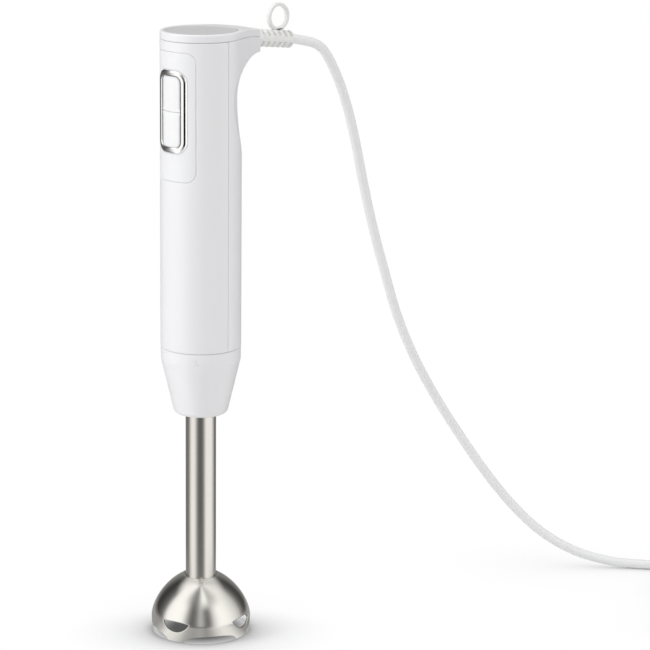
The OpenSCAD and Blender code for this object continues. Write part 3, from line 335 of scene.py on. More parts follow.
# an outline whose corners are rounded: points are (a, b, corner radius)
def roundOff(points, steps=5, closed=True):
    out, n = [], len(points)
    for i, (x, y, r) in enumerate(points):
        if r <= 0 or (not closed and i in (0, n - 1)):
            out.append((x, y))
            continue
        here = np.array((x, y), float)
        a = np.array(points[i - 1][:2], float) - here
        b = np.array(points[(i + 1) % n][:2], float) - here
        lengthA, lengthB = np.linalg.norm(a), np.linalg.norm(b)
        a, b = a / lengthA, b / lengthB
        half = math.acos(max(-1, min(1, float(a @ b)))) / 2
        if half > pi / 2 - 0.01:
            out.append((x, y))
            continue
        reach = min(r / math.tan(half), 0.49 * lengthA, 0.49 * lengthB)
        radius = reach * math.tan(half)
        middle = here + (a + b) / np.linalg.norm(a + b) * (radius / math.sin(half))
        p, q = here + a * reach - middle, here + b * reach - middle
        turn = math.atan2(p[0] * q[1] - p[1] * q[0], p @ q)
        for k in range(steps + 1):
            t = turn * k / steps
            out.append((middle[0] + p[0] * math.cos(t) - p[1] * math.sin(t),
                        middle[1] + p[0] * math.sin(t) + p[1] * math.cos(t)))
    return out


# a piece turned about an upright axis from an outline of (radius, height)
def lathe(name, outline, finish, sides=96, axis=(0, 0), smooth=35):
    points, faces, n = [], [], len(outline)
    for k in range(sides):
        c, s = math.cos(2 * pi * k / sides), math.sin(2 * pi * k / sides)
        points += [(axis[0] + r * c, axis[1] + r * s, z) for r, z in outline]
    for k in range(sides):
        for i in range(n):
            a, b = k * n + i, k * n + (i + 1) % n
            c, d = ((k + 1) % sides) * n + (i + 1) % n, ((k + 1) % sides) * n + i
            faces.append((a, b, c, d))
    piece = solid(name, points, faces, finish, smooth)
    turnOutwards(piece)
    piece.data.set_sharp_from_angle(angle=math.radians(smooth))
    return piece


# a tube swept along points, with its own frame carried along
def sweepTube(path, radius, sides):
    path = np.array(path, float)
    n = len(path)
    tangent = np.gradient(path, axis=0)
    tangent /= np.linalg.norm(tangent, axis=1)[:, None]
    up = np.array((1.0, 0.0, 0.0))
    points, faces = [], []
    for i in range(n):
        up = up - tangent[i] * (up @ tangent[i])
        up /= np.linalg.norm(up)
        side = np.cross(tangent[i], up)
        for k in range(sides):
            a = 2 * pi * k / sides
            points.append(path[i] + radius * (math.cos(a) * up + math.sin(a) * side))
    for i in range(n - 1):
        for k in range(sides):
            a, b = i * sides + k, i * sides + (k + 1) % sides
            faces.append((a, b, b + sides, a + sides))
    return points, faces + endFaces(n, sides)


def smoothStep(a, b, x):
    t = np.clip((x - a) / (b - a), 0, 1)
    return t * t * (3 - 2 * t)


# a smooth curve through points (Catmull-Rom), with its points about a spacing apart
def throughPoints(points, spacing):
    p = np.array(points, float)
    q = np.vstack([2 * p[0] - p[1], p, 2 * p[-1] - p[-2]])
    out = []
    for i in range(1, len(q) - 2):
        a, b, c, d = q[i - 1], q[i], q[i + 1], q[i + 2]
        steps = max(2, int(np.linalg.norm(c - b) / spacing))
        for k in range(steps):
            t = k / steps
            out.append(0.5 * (2 * b + (c - a) * t + (2 * a - 5 * b + 4 * c - d) * t * t
                              + (3 * b - 3 * c + d - a) * t ** 3))
    out.append(q[-2])
    return np.array(out)


# geometry nodes: a recipe has named inputs, and its result is kept as a plain mesh
class Recipe:
    def __init__(self, name, inputs):
        self.tree = bpy.data.node_groups.new(name, "GeometryNodeTree")
        self.keys = {}
        for label, kind in (("Shape", "Geometry"),) + inputs:
            socket = self.tree.interface.new_socket(name=label, in_out="INPUT",
                                                    socket_type="NodeSocket" + kind)
            self.keys[label] = socket.identifier
        self.tree.interface.new_socket(name="Result", in_out="OUTPUT", socket_type="NodeSocketGeometry")
        self.given = self.tree.nodes.new("NodeGroupInput").outputs
        self.result = self.tree.nodes.new("NodeGroupOutput").inputs[0]

    def add(self, kind, settings=None, sockets=None, out=0):
        node = self.tree.nodes.new(kind)
        for key, value in (settings or {}).items():
            setattr(node, key, value)
        for key, value in (sockets or {}).items():
            if isinstance(value, bpy.types.NodeSocket):
                self.tree.links.new(value, node.inputs[key])
            else:
                node.inputs[key].default_value = value
        return node.outputs[out]

    def close(self, shape):
        real = self.add("GeometryNodeRealizeInstances", None, {0: shape})
        dressed = self.add("GeometryNodeSetMaterial", None, {0: real, "Material": self.given["Finish"]})
        self.tree.links.new(dressed, self.result)

    # runs the recipe on a piece, then keeps the mesh and drops the modifier
    def bake(self, piece, values, smooth=35):
        modifier = piece.modifiers.new("recipe", "NODES")
        modifier.node_group = self.tree
        for label, value in values.items():
            modifier[self.keys[label]] = value
        bpy.context.view_layer.update()
        seen = piece.evaluated_get(bpy.context.evaluated_depsgraph_get())
        mesh = bpy.data.meshes.new_from_object(seen)
        piece.modifiers.remove(modifier)
        piece.data = mesh
        mesh.shade_smooth()
        mesh.set_sharp_from_angle(angle=math.radians(smooth))
        return piece


# copies in a straight row
inRow = Recipe("inRow", (("Count", "Int"), ("Step", "Vector"), ("Finish", "Material")))
inRow.close(inRow.add("GeometryNodeInstanceOnPoints", None, {
    0: inRow.add("GeometryNodeMeshLine", {"mode": "OFFSET"},
                 {0: inRow.given["Count"], 3: inRow.given["Step"]}),
    2: inRow.given["Shape"]}))

# copies in a ring about the upright axis
inRing = Recipe("inRing", (("Count", "Int"), ("Turn", "Float"), ("Finish", "Material")))
ringAngle = inRing.add("ShaderNodeMath", {"operation": "MULTIPLY"},
                       {0: inRing.add("GeometryNodeInputIndex"), 1: inRing.given["Turn"]})
inRing.close(inRing.add("GeometryNodeInstanceOnPoints", None, {
    0: inRing.add("GeometryNodeMeshLine", {"mode": "OFFSET"}, {0: inRing.given["Count"], 3: (0, 0, 0)}),
    2: inRing.given["Shape"],
    5: inRing.add("ShaderNodeCombineXYZ", None, {2: ringAngle})}))


def joinPieces(pieces, smooth=35):
    bpy.ops.object.select_all(action="DESELECT")
    for piece in pieces:
        piece.select_set(True)
    bpy.context.view_layer.objects.active = pieces[0]
    bpy.ops.object.join()
    pieces[0].data.set_sharp_from_angle(angle=math.radians(smooth))
    return pieces[0]


# turns a piece's mesh so that its own x, y and z lie along three directions from an origin in mm
def setDown(piece, origin, xAxis, yAxis, zAxis):
    place = [tuple(xAxis[i] * v.co.x + yAxis[i] * v.co.y + zAxis[i] * v.co.z + origin[i] / 1000
                   for i in range(3)) for v in piece.data.vertices]
    for vertex, spot in zip(piece.data.vertices, place):
        vertex.co = spot
    piece.data.update()
    return piece


# a bar drawn along z from a closed outline of (x, y); edge softens its ends
def bar(name, outline, low, high, finish, smooth=35, edge=0.0):
    n = len(outline)
    middle = np.mean(np.array(outline, float), axis=0)
    levels = [(low, 1.0), (high, 1.0)]
    if edge:
        reach = max(math.dist(p, middle) for p in outline)
        part = edge * 0.3
        levels = [(low, 1 - edge / reach), (low + part, 1 - part / reach), (low + edge, 1.0),
                  (high - edge, 1.0), (high - part, 1 - part / reach), (high, 1 - edge / reach)]
    points = [(middle[0] + (x - middle[0]) * k, middle[1] + (y - middle[1]) * k, z)
              for z, k in levels for x, y in outline]
    piece = solid(name, points, ringFaces(len(levels), n) + endFaces(len(levels), n), finish, smooth)
    turnOutwards(piece)
    piece.data.set_sharp_from_angle(angle=math.radians(smooth))
    return piece


# makes a piece stand for a imported node and ride on a body
def dress(piece, node, body):
    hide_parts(node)
    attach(piece, body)


# strain relief: its axis starts at the end of the handle's beak and points a little down
reliefSet = {"beak": boxOf("rear_housing")["high"][1], "height": 390.8, "tilt": 7, "length": 32.3,
             "radius": boxOf("strain_relief")["high"][0]}
reliefAlong = (0, math.cos(math.radians(reliefSet["tilt"])), -math.sin(math.radians(reliefSet["tilt"])))


# a point on the strain relief's axis, at a distance from the beak's end
def onRelief(s, distance):
    return (0, s["beak"] + distance * reliefAlong[1], s["height"] + distance * reliefAlong[2])


plugBox = boxOf("plug_body")
plugSet = {"x": plugBox["middle"][0], "rear": plugBox["low"][1] + 35, "length": 35,
           "wide": plugBox["size"][0], "thick": plugBox["size"][2], "corner": 4, "neck": 0.5, "sleeve": 14,
           "sleeveStart": 5.6, "sleeveEnd": 4.05, "grooves": 5, "pinPitch": 18.6, "pinRadius": 2,
           "pinLength": 19}

# the free cord: out of the strain relief, down to the table, a neat coil, then the plug
coilBox = boxOf("cord_coil")
cordSet = {"diameter": 6.3, "exit": onRelief(reliefSet, reliefSet["length"]),
           "straight": onRelief(reliefSet, reliefSet["length"] + 8), "settled": (40, 245, 60),
           "coilCentre": coilBox["middle"][:2], "outer": (coilBox["size"][0] - 6.3) / 2, "turns": 3,
           "entry": 125, "room": 0.2, "spacing": 2.2, "sides": 24, "plugRear": plugSet["rear"],
           "sleeve": plugSet["sleeve"], "plugHeight": plugSet["thick"] / 2,
           "fall": [(0, 106, 379), (0, 120, 361), (0, 131, 338), (0, 140, 311), (0, 148, 282), (1, 157, 250),
                    (3, 167, 218), (5, 178, 186), (9, 192, 154), (15, 208, 124), (23, 224, 96), (34, 238, 70),
                    (47, 252, 46), (63, 266, 26), (81, 282, 12), (101, 300, 4.65), (121, 317, 3.15),
                    (141, 333, 3.15)]}


def cordPath(s):
    r = s["diameter"] / 2
    cx, cy = s["coilCentre"]
    outer = s["outer"]
    inner = outer - s["diameter"] - s["room"]
    middle = (outer + inner) / 2
    topZ = r + math.sqrt(s["diameter"] ** 2 - ((outer - inner) / 2) ** 2)
    entry = math.radians(s["entry"])
    start = (cx + outer * math.cos(entry), cy + outer * math.sin(entry), r)
    path = list(throughPoints([s["exit"], s["straight"], *s["fall"], start], s["spacing"]))[:-1]
    # clockwise turns: outer, inner, then the top turn that leaves towards the plug
    total = s["entry"] + 360 * s["turns"]
    steps = int(total / 4)
    for k in range(steps + 1):
        swept = total * k / steps
        a = math.radians(s["entry"] - swept)
        intoInner, ontoTop = float(smoothStep(300, 420, swept)), float(smoothStep(680, 800, swept))
        radius = outer + (inner - outer) * intoInner + (middle - inner) * ontoTop
        path.append((cx + radius * math.cos(a), cy + radius * math.sin(a), r + (topZ - r) * ontoTop))
    x, z = cx + middle, s["plugHeight"]
    tail = [path[-1], (x, cy - 4, topZ), (x, (cy + s["plugRear"] + s["sleeve"]) / 2, (topZ + z) / 2 + 0.1),
            (x, s["plugRear"] + s["sleeve"] + 4, z), (x, s["plugRear"] + s["sleeve"] - 6, z)]
    path += list(throughPoints(tail, s["spacing"]))[1:]
    return np.array(path)


def makeCord(s):
    path = cordPath(s)
    cord = solid("mainsCord", *sweepTube(path, s["diameter"] / 2, s["sides"]), "cordWhite", 60)
    cord.visible_glossy = False  # its thin image in the bell would look like a scratch
    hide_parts("power_cord", "cord_coil", "cord_tail")
    tuple(v / 1000 for v in s["exit"])
    tuple(v / 1000 for v in s["settled"])
    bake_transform(cord)
    length = float(np.linalg.norm(np.diff(path, axis=0), axis=1).sum())
    [v / 1000 for v in s["exit"]]
    s["diameter"] / 1000
    print("cord length", round(length), "mm")


# section across the plug at a share of its length from the pins
def plugSection(s, along):
    draw = smoothStep(0.26, 1.0, along)
    face = (1 - smoothStep(0, 0.05, along)) ** 2
    wide = s["wide"] * (1 - s["neck"] * draw) - 2.6 * face
    thick = s["thick"] * (1 - 0.16 * draw) - 1.6 * face
    corner = min(s["corner"] + 1.5 * draw, thick / 2 - 0.3)
    return roundOff([(-wide / 2, -thick / 2, corner), (wide / 2, -thick / 2, corner),
                     (wide / 2, thick / 2, corner), (-wide / 2, thick / 2, corner)], 6)


def makePlug(s):
    # rows along the body, from the pins' face to the rounded rear
    rows = [0, 0.006, 0.014, 0.026, 0.045] + list(np.linspace(0.08, 0.94, 24)) + [0.965, 0.985, 1.0]
    front, height = s["rear"] - s["length"], s["thick"] / 2
    points = []
    for t in rows:
        close = 1 - 0.22 * max(0, (t - 0.94) / 0.06) ** 2
        for x, z in plugSection(s, t):
            # shallow thumb hollows above and below
            dip = 0.13 * math.exp(-((t - 0.42) / 0.2) ** 2 - (x / 8.5) ** 2) if abs(z) > 3 else 0
            points.append((s["x"] + x * close, front + t * s["length"], height + z * close * (1 - dip)))
    n = len(points) // len(rows)
    faces = ringFaces(len(rows), n) + endFaces(len(rows), n)
    body = solid("plugBody", points, faces, "plugWhite", 40)
    turnOutwards(body)
    # bend sleeve with grooves, as (radius, distance behind the body)
    outline = [(0.01, -1.0)]
    end = s["sleeve"]
    for k in range(s["grooves"]):
        a = end * k / s["grooves"]
        size = s["sleeveStart"] + (s["sleeveEnd"] - s["sleeveStart"]) * (a + 1) / end
        outline += [(size, a), (size, a + 1.7), (size - 0.75, a + 1.95), (size - 0.75, a + 2.6)]
    outline += [(s["sleeveEnd"], end - 0.05), (s["sleeveEnd"] - 0.5, end), (0.01, end)]
    sleeve = lathe("sleeve", outline, "plugWhite", 64, (0, 0), 50)
    setDown(sleeve, (s["x"], s["rear"], height), (1, 0, 0), (0, 0, -1), (0, 1, 0))
    plug = joinPieces([body, sleeve], 40)
    # round pins with domed tips
    r, long, dome = s["pinRadius"], s["pinLength"], s["pinRadius"] * 0.6
    tip = [(r * math.cos(a), long - dome + dome * math.sin(a)) for a in np.linspace(0, pi / 2 - 0.01, 8)]
    pins = []
    for k in (-1, 1):
        pin = lathe("pin", [(0.005, -0.9), (r, -0.9)] + tip, "pinNickel", 40, (0, 0), 40)
        root = (s["x"] + k * s["pinPitch"] / 2, front, height)
        pins.append(setDown(pin, root, (1, 0, 0), (0, 0, 1), (0, -1, 0)))
    pin = joinPieces(pins, 40)
    pin.name = pin.data.name = "plugPins"
    return plug, pin


# strap over the coil: a soft arch that follows the turns and stands on the table
tieSet = {"turn": 250, "wide": 5, "thick": 0.9, "room": 0.3, "soften": 3.2, "edge": 0.18}


def makeTie(s, c):
    r, t = c["diameter"] / 2, s["thick"]
    low = c["outer"] - c["diameter"] - c["room"] - r - s["room"] - t
    high = c["outer"] + r + s["room"] + t
    top = r + math.sqrt(c["diameter"] ** 2 - 0.25 * (c["diameter"] + c["room"]) ** 2) + r + 0.1 + t

    def arch(inset):
        soft = s["soften"] - inset
        return roundOff([(low + inset, 0, 0), (low + inset, top - inset, soft),
                         (high - inset, top - inset, soft), (high - inset, 0, 0)], 8, False)

    outer = arch(0)
    outline = outer + arch(t)[::-1]
    n, h, m = len(outer), s["wide"] / 2, len(outline)
    points = []
    for y, shrink in ((-h, s["edge"]), (-h + s["edge"], 0), (h - s["edge"], 0), (h, s["edge"])):
        for (x, z), (x2, z2) in zip(outline, outline[::-1]):
            points.append((x + (x2 - x) * shrink / t, y, z + (z2 - z) * shrink / t))
    faces = ringFaces(4, m)
    for i in range(n - 1):
        faces += [(k + i, k + i + 1, k + m - 2 - i, k + m - 1 - i) for k in (0, 3 * m)]
    tie = solid("cordTie", points, faces, "tieBlack", 40)
    turnOutwards(tie)
    a = math.radians(s["turn"])
    return setDown(tie, (*c["coilCentre"], 0), (math.cos(a), math.sin(a), 0), (-math.sin(a), math.cos(a), 0),
                   (0, 0, 1))


plugBody, plugPins = makePlug(plugSet)
cordTie = makeTie(tieSet, cordSet)
dress(plugBody, "plug_body", "foot")
dress(plugPins, "plug_pins", "foot")
dress(cordTie, "cord_tie", "foot")
makeCord(cordSet)


# ribbed strain relief with its hanging loop; its axis points a little down
loopMount = mountOf("hanging_loop")
ribSet = {"slots": 6, "plain": 4.4, "flange": 1.4, "slot": 2.0, "core": 3.65, "web": 1.6, "round": 0.75,
          "loopHole": loopMount["dims"]["r_mm"], "loopThick": 2.2, "loopWide": loopMount["dims"]["length_mm"],
          "loopPlace": tuple(round(v * 1000, 3) for v in loopMount["pos_m"]), "loopEdge": 0.55,
          "footWide": 7.0}


def makeRelief(s, r):
    along = reliefAlong
    side, down = (1, 0, 0), (0, -math.sin(math.radians(s["tilt"])), -math.cos(math.radians(s["tilt"])))
    big, core = s["radius"], r["core"]
    pitch = (s["length"] - r["plain"] - r["flange"] - r["slot"]) / (r["slots"] - 1)
    outline = [(0.01, -1.2, 0), (big, -1.2, 0), (big, r["plain"], r["round"]), (core - 0.3, r["plain"], 0),
               (0.01, r["plain"], 0)]
    start = lathe("reliefStart", roundOff(outline, 5), "reliefWhite", 96)
    setDown(start, onRelief(s, 0), side, down, along)
    # one rib, thinner at its rim, repeated between the slots
    thick = pitch - r["slot"]
    outline = [(core - 0.4, 0, 0), (core - 0.1, -0.25, 0.3), (big - 0.3, 0.2, 0.5), (big, thick / 2, 1.2),
               (big - 0.3, thick - 0.2, 0.5), (core - 0.1, thick + 0.25, 0.3), (core - 0.4, thick, 0)]
    rib = lathe("rib", roundOff(outline, 4), "reliefWhite", 96)
    setDown(rib, onRelief(s, r["plain"] + r["slot"]), side, down, along)
    step = tuple(a * pitch / 1000 for a in along)
    inRow.bake(rib, {"Count": r["slots"] - 1, "Step": step, "Finish": finishes["reliefWhite"]})
    end = s["length"]
    outline = [(core - 0.4, end - r["flange"], 0), (big - 0.1, end - r["flange"], 0.35), (big, end, 0.45),
               (core, end, 0.5), (core - 0.4, end - 0.5, 0)]
    flange = lathe("flange", roundOff(outline, 4), "reliefWhite", 96)
    setDown(flange, onRelief(s, 0), side, down, along)
    # core with a web along each side
    rim = big - 0.05
    half = math.asin(r["web"] / rim)
    outline = [(rim * math.cos(a), rim * math.sin(a)) for a in np.linspace(-half, half, 9)]
    low = math.asin((r["web"] + 0.5) / core)
    outline += [(core * math.cos(a), core * math.sin(a)) for a in np.linspace(low, pi - low, 25)]
    outline += [(-x, -y) for x, y in outline]
    spine = bar("spine", outline, 0.0, end - 0.6, "reliefWhite", 40)
    setDown(spine, onRelief(s, 0), side, down, along)
    # loop with softened edges, on a short foot
    inside, wide, edge = r["loopHole"], r["loopWide"] / 2, r["loopEdge"]
    outside = inside + r["loopThick"]
    outline = [(inside, -wide, edge), (outside, -wide, edge), (outside, wide, edge), (inside, wide, edge)]
    loop = lathe("loop", roundOff(outline, 5), "reliefWhite", 112)
    middle = r["loopPlace"]
    setDown(loop, middle, (0, 1, 0), (0, 0, 1), (1, 0, 0))
    top = onRelief(s, (middle[1] - s["beak"]) / along[1])[2] + big - middle[2]
    a = r["footWide"] / 2
    outline = [(-a - 0.6, top - 2.2, 0), (a + 0.6, top - 2.2, 0), (a - 0.2, top + 0.9, 1.4),
               (-a + 0.2, top + 0.9, 1.4)]
    foot = bar("loopFoot", roundOff(outline, 5), -wide, wide, "reliefWhite", 40, 0.4)
    setDown(foot, middle, (0, 1, 0), (0, 0, 1), (1, 0, 0))
    return joinPieces([start, rib, flange, spine, loop, foot], 40)


dress(makeRelief(reliefSet, ribSet), "strain_relief", "handle")


# moves grid corners that lie beside the edge of a shape onto it, so that the cut is clean
def moveToEdge(gridU, gridV, inside, keep, wrap, span):
    nu, nv = gridU.shape
    best = np.full((nu, nv), 1e9)
    target = np.stack([gridU, gridV], -1)
    for du, dv in ((1, 0), (0, 1)):
        last = nu if (wrap and du) else nu - du
        i, j = np.meshgrid(np.arange(last), np.arange(nv - dv), indexing="ij")
        i2, j2 = (i + du) % nu, j + dv
        cross = inside[i, j] * inside[i2, j2] < 0
        i, j, i2, j2 = i[cross], j[cross], i2[cross], j2[cross]
        a = np.stack([gridU[i, j], gridV[i, j]], -1)
        b = np.stack([gridU[i2, j2], gridV[i2, j2]], -1)
        b[:, 0] += np.where(i2 < i, span, 0)
        low, high = np.zeros(len(a)), np.ones(len(a))
        first = np.sign(inside[i, j])
        for halving in range(14):
            mid = (low + high) / 2
            at = a + (b - a) * mid[:, None]
            same = np.sign(keep(at[:, 0], at[:, 1])) == first
            low, high = np.where(same, mid, low), np.where(same, high, mid)
        t = (low + high) / 2
        for q in range(len(t)):
            at = a[q] + (b[q] - a[q]) * t[q]
            near, corner = (t[q], (i[q], j[q])) if t[q] < 0.5 else (1 - t[q], (i2[q], j2[q]))
            if near < best[corner]:
                best[corner] = near
                shift = span if (t[q] >= 0.5 and i2[q] < i[q]) else 0
                target[corner] = (at[0] - shift, at[1])
    moved = best < 1e8
    gridU[moved], gridV[moved] = target[moved][:, 0], target[moved][:, 1]
    inside[moved] = 0.0


# a curved sheet cut to a shape: place turns (u, v) into points, keep is a distance that is
# positive on the sheet
def cutSheet(us, vs, place, keep, wrap=False):
    nu, nv = len(us), len(vs)
    gridU, gridV = (g.copy() for g in np.meshgrid(us, vs, indexing="ij"))
    inside = keep(gridU, gridV)
    inside = np.where(np.abs(inside) < 1e-9, 0.0, inside)
    moveToEdge(gridU, gridV, inside, keep, wrap, us[-1] - us[-2] + us[-1] - us[0])
    points = place(gridU, gridV).reshape(-1, 3)
    faces = []
    for i in range(nu if wrap else nu - 1):
        i2 = (i + 1) % nu
        for j in range(nv - 1):
            ring = ((i, j), (i2, j), (i2, j + 1), (i, j + 1))
            d = [inside[c] for c in ring]
            ids = [c[0] * nv + c[1] for c in ring]
            if min(d) >= 0 and max(d) > 0:
                faces.append(tuple(ids))
            elif min(d) < 0 < max(d):
                k = int(np.argmax(d))
                if d[k - 1] >= 0 and d[(k + 1) % 4] >= 0:
                    faces.append((ids[k - 1], ids[k], ids[(k + 1) % 4]))
            elif max(d) == 0 == min(d):
                mu, mv = np.mean([gridU[c] for c in ring]), np.mean([gridV[c] for c in ring])
                if not (wrap and i2 < i) and keep(np.array([mu]), np.array([mv]))[0] > 0:
                    faces.append(tuple(ids))
    # points that no face uses are dropped
    used = sorted({i for f in faces for i in f})
    number = {old: new for new, old in enumerate(used)}
    return [points[i] for i in used], [tuple(number[i] for i in f) for f in faces]


# rolls every free edge of a sheet over with a small radius and then straight inwards, with a lip
# where one is asked for; the radius is a number or a function of the point
def rollEdges(points, faces, radius, depth, steps, lip=0.0):
    points = [np.array(p, float) for p in points]
    following = set()
    normal = [np.zeros(3) for point in points]
    for f in faces:
        p = [points[i] for i in f]
        n = np.cross(p[1] - p[0], p[2] - p[0]) if len(p) == 3 else np.cross(p[2] - p[0], p[3] - p[1])
        for k, i in enumerate(f):
            normal[i] = normal[i] + n
            following.add((i, f[(k + 1) % len(f)]))
    free = {a: b for f in faces for a, b in zip(f, f[1:] + f[:1]) if (b, a) not in following}
    extra, extraFaces = [], []
    done = set()
    for start in list(free):
        if start in done:
            continue
        loop, here = [], start
        while here not in done and here in free:
            loop.append(here)
            done.add(here)
            here = free[here]
        n = len(loop)
        base = len(points) + len(extra)
        ring = []
        for k, i in enumerate(loop):
            along = points[loop[(k + 1) % n]] - points[loop[k - 1]]
            up = normal[i] / (np.linalg.norm(normal[i]) + 1e-12)
            out = np.cross(along, up)
            out = out / (np.linalg.norm(out) + 1e-12)
            line = []
            r = radius(points[i]) if callable(radius) else radius
            for s in range(1, steps + 1):
                a = pi / 2 * s / steps
                line.append(points[i] + out * r * math.sin(a) - up * r * (1 - math.cos(a)))
            line.append(line[-1] - up * depth)
            if lip:
                line.append(line[-1] + out * lip)
            ring.append(line)
        width = steps + (2 if lip else 1)
        for line in ring:
            extra += line
        for k in range(n):
            k2 = (k + 1) % n
            a, b = loop[k], loop[k2]
            extraFaces.append((b, a, base + k * width, base + k2 * width))
            for s in range(width - 1):
                extraFaces.append((base + k2 * width + s, base + k * width + s,
                                   base + k * width + s + 1, base + k2 * width + s + 1))
    return points + extra, list(faces) + extraFaces


# distance inside a rounded rectangle about (0, v0)
def roundRect(u, v, wide, tall, corner, v0):
    a, b = np.abs(u) - wide / 2 + corner, np.abs(v - v0) - tall / 2 + corner
    return corner - np.hypot(np.maximum(a, 0), np.maximum(b, 0)) - np.minimum(np.maximum(a, b), 0)


def softMin(a, b, reach):
    h = np.clip(0.5 + 0.5 * (b - a) / reach, 0, 1)
    return b + (a - b) * h - reach * h * (1 - h)


# handle: a 52 mm cylinder that runs out into a beak for the cord and is scooped behind for the grip
frontBox, panelBox, bezelBox = boxOf("front_housing"), boxOf("button_panel"), boxOf("button_bezel")
handleSet = {"radius": frontBox["high"][0], "floor": frontBox["low"][2], "top": boxOf("top_cap")["high"][2],
             "seam": frontBox["high"][2] + 0.2, "gap": 0.2, "beakReach": reliefSet["beak"], "beakWidth": 18,
             "beakCorner": 3, "waist": 357.5, "waistDepth": 19.6, "lowSweep": 100, "highSweep": 24,
             "scoopFoot": 300, "crownStart": 15, "crown": 150, "wall": 2.2, "soft": 3.0, "sideDraw": 0.35,
             "endDraw": 0.25}


# direction in which the plan leaves its circle for the beak's side
def beakTurn(s):
    bx, by = s["beakWidth"] / 2 - s["beakCorner"], s["beakReach"] - s["beakCorner"]
    return math.atan2(by, bx) - math.acos((s["radius"] - s["beakCorner"]) / math.hypot(bx, by))


# right half of the plan seen from above, from the parting line to the middle of the beak's end
def planOutline(s):
    r, rc = s["radius"], s["beakCorner"]
    bx, by = s["beakWidth"] / 2 - rc, s["beakReach"] - rc
    turn = beakTurn(s)
    out = [(r * math.cos(a), r * math.sin(a)) for a in np.linspace(0, turn, 9)]
    p = np.array(out[-1])
    q = np.array((bx + rc * math.cos(turn), by + rc * math.sin(turn)))
    out += [tuple(p + (q - p) * t) for t in np.linspace(0, 1, int(np.linalg.norm(q - p)) + 1)[1:]]
    out += [(bx + rc * math.cos(a), by + rc * math.sin(a)) for a in np.linspace(turn, pi / 2, 9)[1:]]
    out += [(x, by + rc) for x in np.linspace(bx, 0, 6)[1:]]
    return np.array(out)


# how far the top falls away towards the beak
def crownDrop(s, y):
    over = np.maximum(y - s["crownStart"], 0)
    return s["crown"] - np.sqrt(s["crown"] ** 2 - over ** 2)


# distance from the axis to the back of the grip in each direction, found by walking outwards
def gripReach(s, angle, z, limit):
    share = np.linspace(0.02, 1, 120)
    sweep = np.where(z < s["waist"], s["lowSweep"], s["highSweep"])
    c, n = np.cos(angle), np.sin(angle)

    def depthInto(t):
        back = s["waistDepth"] * np.sqrt(np.maximum(0, 1 - (t * c / (s["radius"] + 0.6)) ** 2))
        return sweep + s["waistDepth"] - back - np.hypot(t * n - s["waistDepth"] - sweep, z - s["waist"])

    hit = np.full(np.shape(angle), 1e3)
    last = depthInto(limit * share[0])
    for k in range(1, len(share)):
        now = depthInto(limit * share[k])
        cross = (last < 0) & (now >= 0) & (hit > 900)
        t = share[k - 1] + (share[k] - share[k - 1]) * (-last) / np.maximum(now - last, 1e-9)
        hit = np.where(cross, limit * t, hit)
        last = now
    return hit


# the rear shell's outside as a grid of points
def rearSurface(s):
    half = planOutline(s)
    plan = np.vstack([half, [(-x, y) for x, y in half[:-1][::-1]]])
    angles = np.arctan2(plan[:, 1], plan[:, 0])
    reach = np.hypot(plan[:, 0], plan[:, 1])
    bottom, top = s["floor"], s["seam"] - s["gap"]
    # rows are close together at the scoop and at the beak's underside
    ledge = s["waist"] + s["highSweep"]
    rows = [*np.arange(bottom, s["scoopFoot"], 4.0), *np.arange(s["scoopFoot"], s["waist"] - 12.5, 1.2),
            *(s["waist"] + s["highSweep"] * np.sin(np.linspace(-0.5, 1.0, 45) * pi / 2)),
            *np.linspace(ledge + 0.1, ledge + 3, 16), *np.arange(ledge + 4, top, 1.4), top]
    rows = sorted(set(np.round(rows, 4)))
    rows = [z for i, z in enumerate(rows) if i == 0 or z - rows[i - 1] > 0.05]
    angle, level = np.meshgrid(angles, rows, indexing="ij")
    limit = np.broadcast_to(reach[:, None], angle.shape)
    hit = gripReach(s, angle, level, limit)
    body = np.where(level < s["waist"], np.minimum(limit, s["radius"]), limit)
    out = np.minimum(softMin(body, np.minimum(hit, 60), s["soft"]), body)
    x, y = out * np.cos(angle), out * np.sin(angle)
    return np.stack([x, y, level - crownDrop(s, y) * smoothStep(ledge + 2.5, top, level)], -1)


def makeRearShell(s):
    points = rearSurface(s)
    n, m = points.shape[:2]
    # the sheet's own edge is drawn in by the roll's radius and the joint's gap
    points[0, :, 1] += s["sideDraw"]
    points[-1, :, 1] += s["sideDraw"]
    points[:, 0, 2] += s["endDraw"]
    points[:, -1, 2] -= s["endDraw"]
    faces = [(i * m + j, (i + 1) * m + j, (i + 1) * m + j + 1, i * m + j + 1)
             for i in range(n - 1) for j in range(m - 1)]
    p, f = rollEdges(points.reshape(-1, 3), faces, s["endDraw"], s["wall"] - 0.3, 3)
    return solid("gripShell", p, f, "shellWhite", 50)


panelSet = {"width": panelBox["size"][0], "height": panelBox["size"][2], "middle": panelBox["middle"][2],
            "corner": 6, "joint": 0.12, "roll": 0.42, "deep": 0.2, "lip": 0.7, "sink": 0.04, "shellRoll": 0.2,
            "bezelGap": 0.32, "bezelRoll": 0.12}
bezelSet = {"width": bezelBox["size"][0], "height": bezelBox["size"][2], "middle": bezelBox["middle"][2],
            "corner": 8, "frame": 3.9}


# width on the handle is measured straight across, so that outlines stay true from the front
def onHandle(radius):
    def place(u, v):
        return np.stack([u, -np.sqrt(np.maximum(radius ** 2 - u ** 2, 0)), v], -1)
    return place


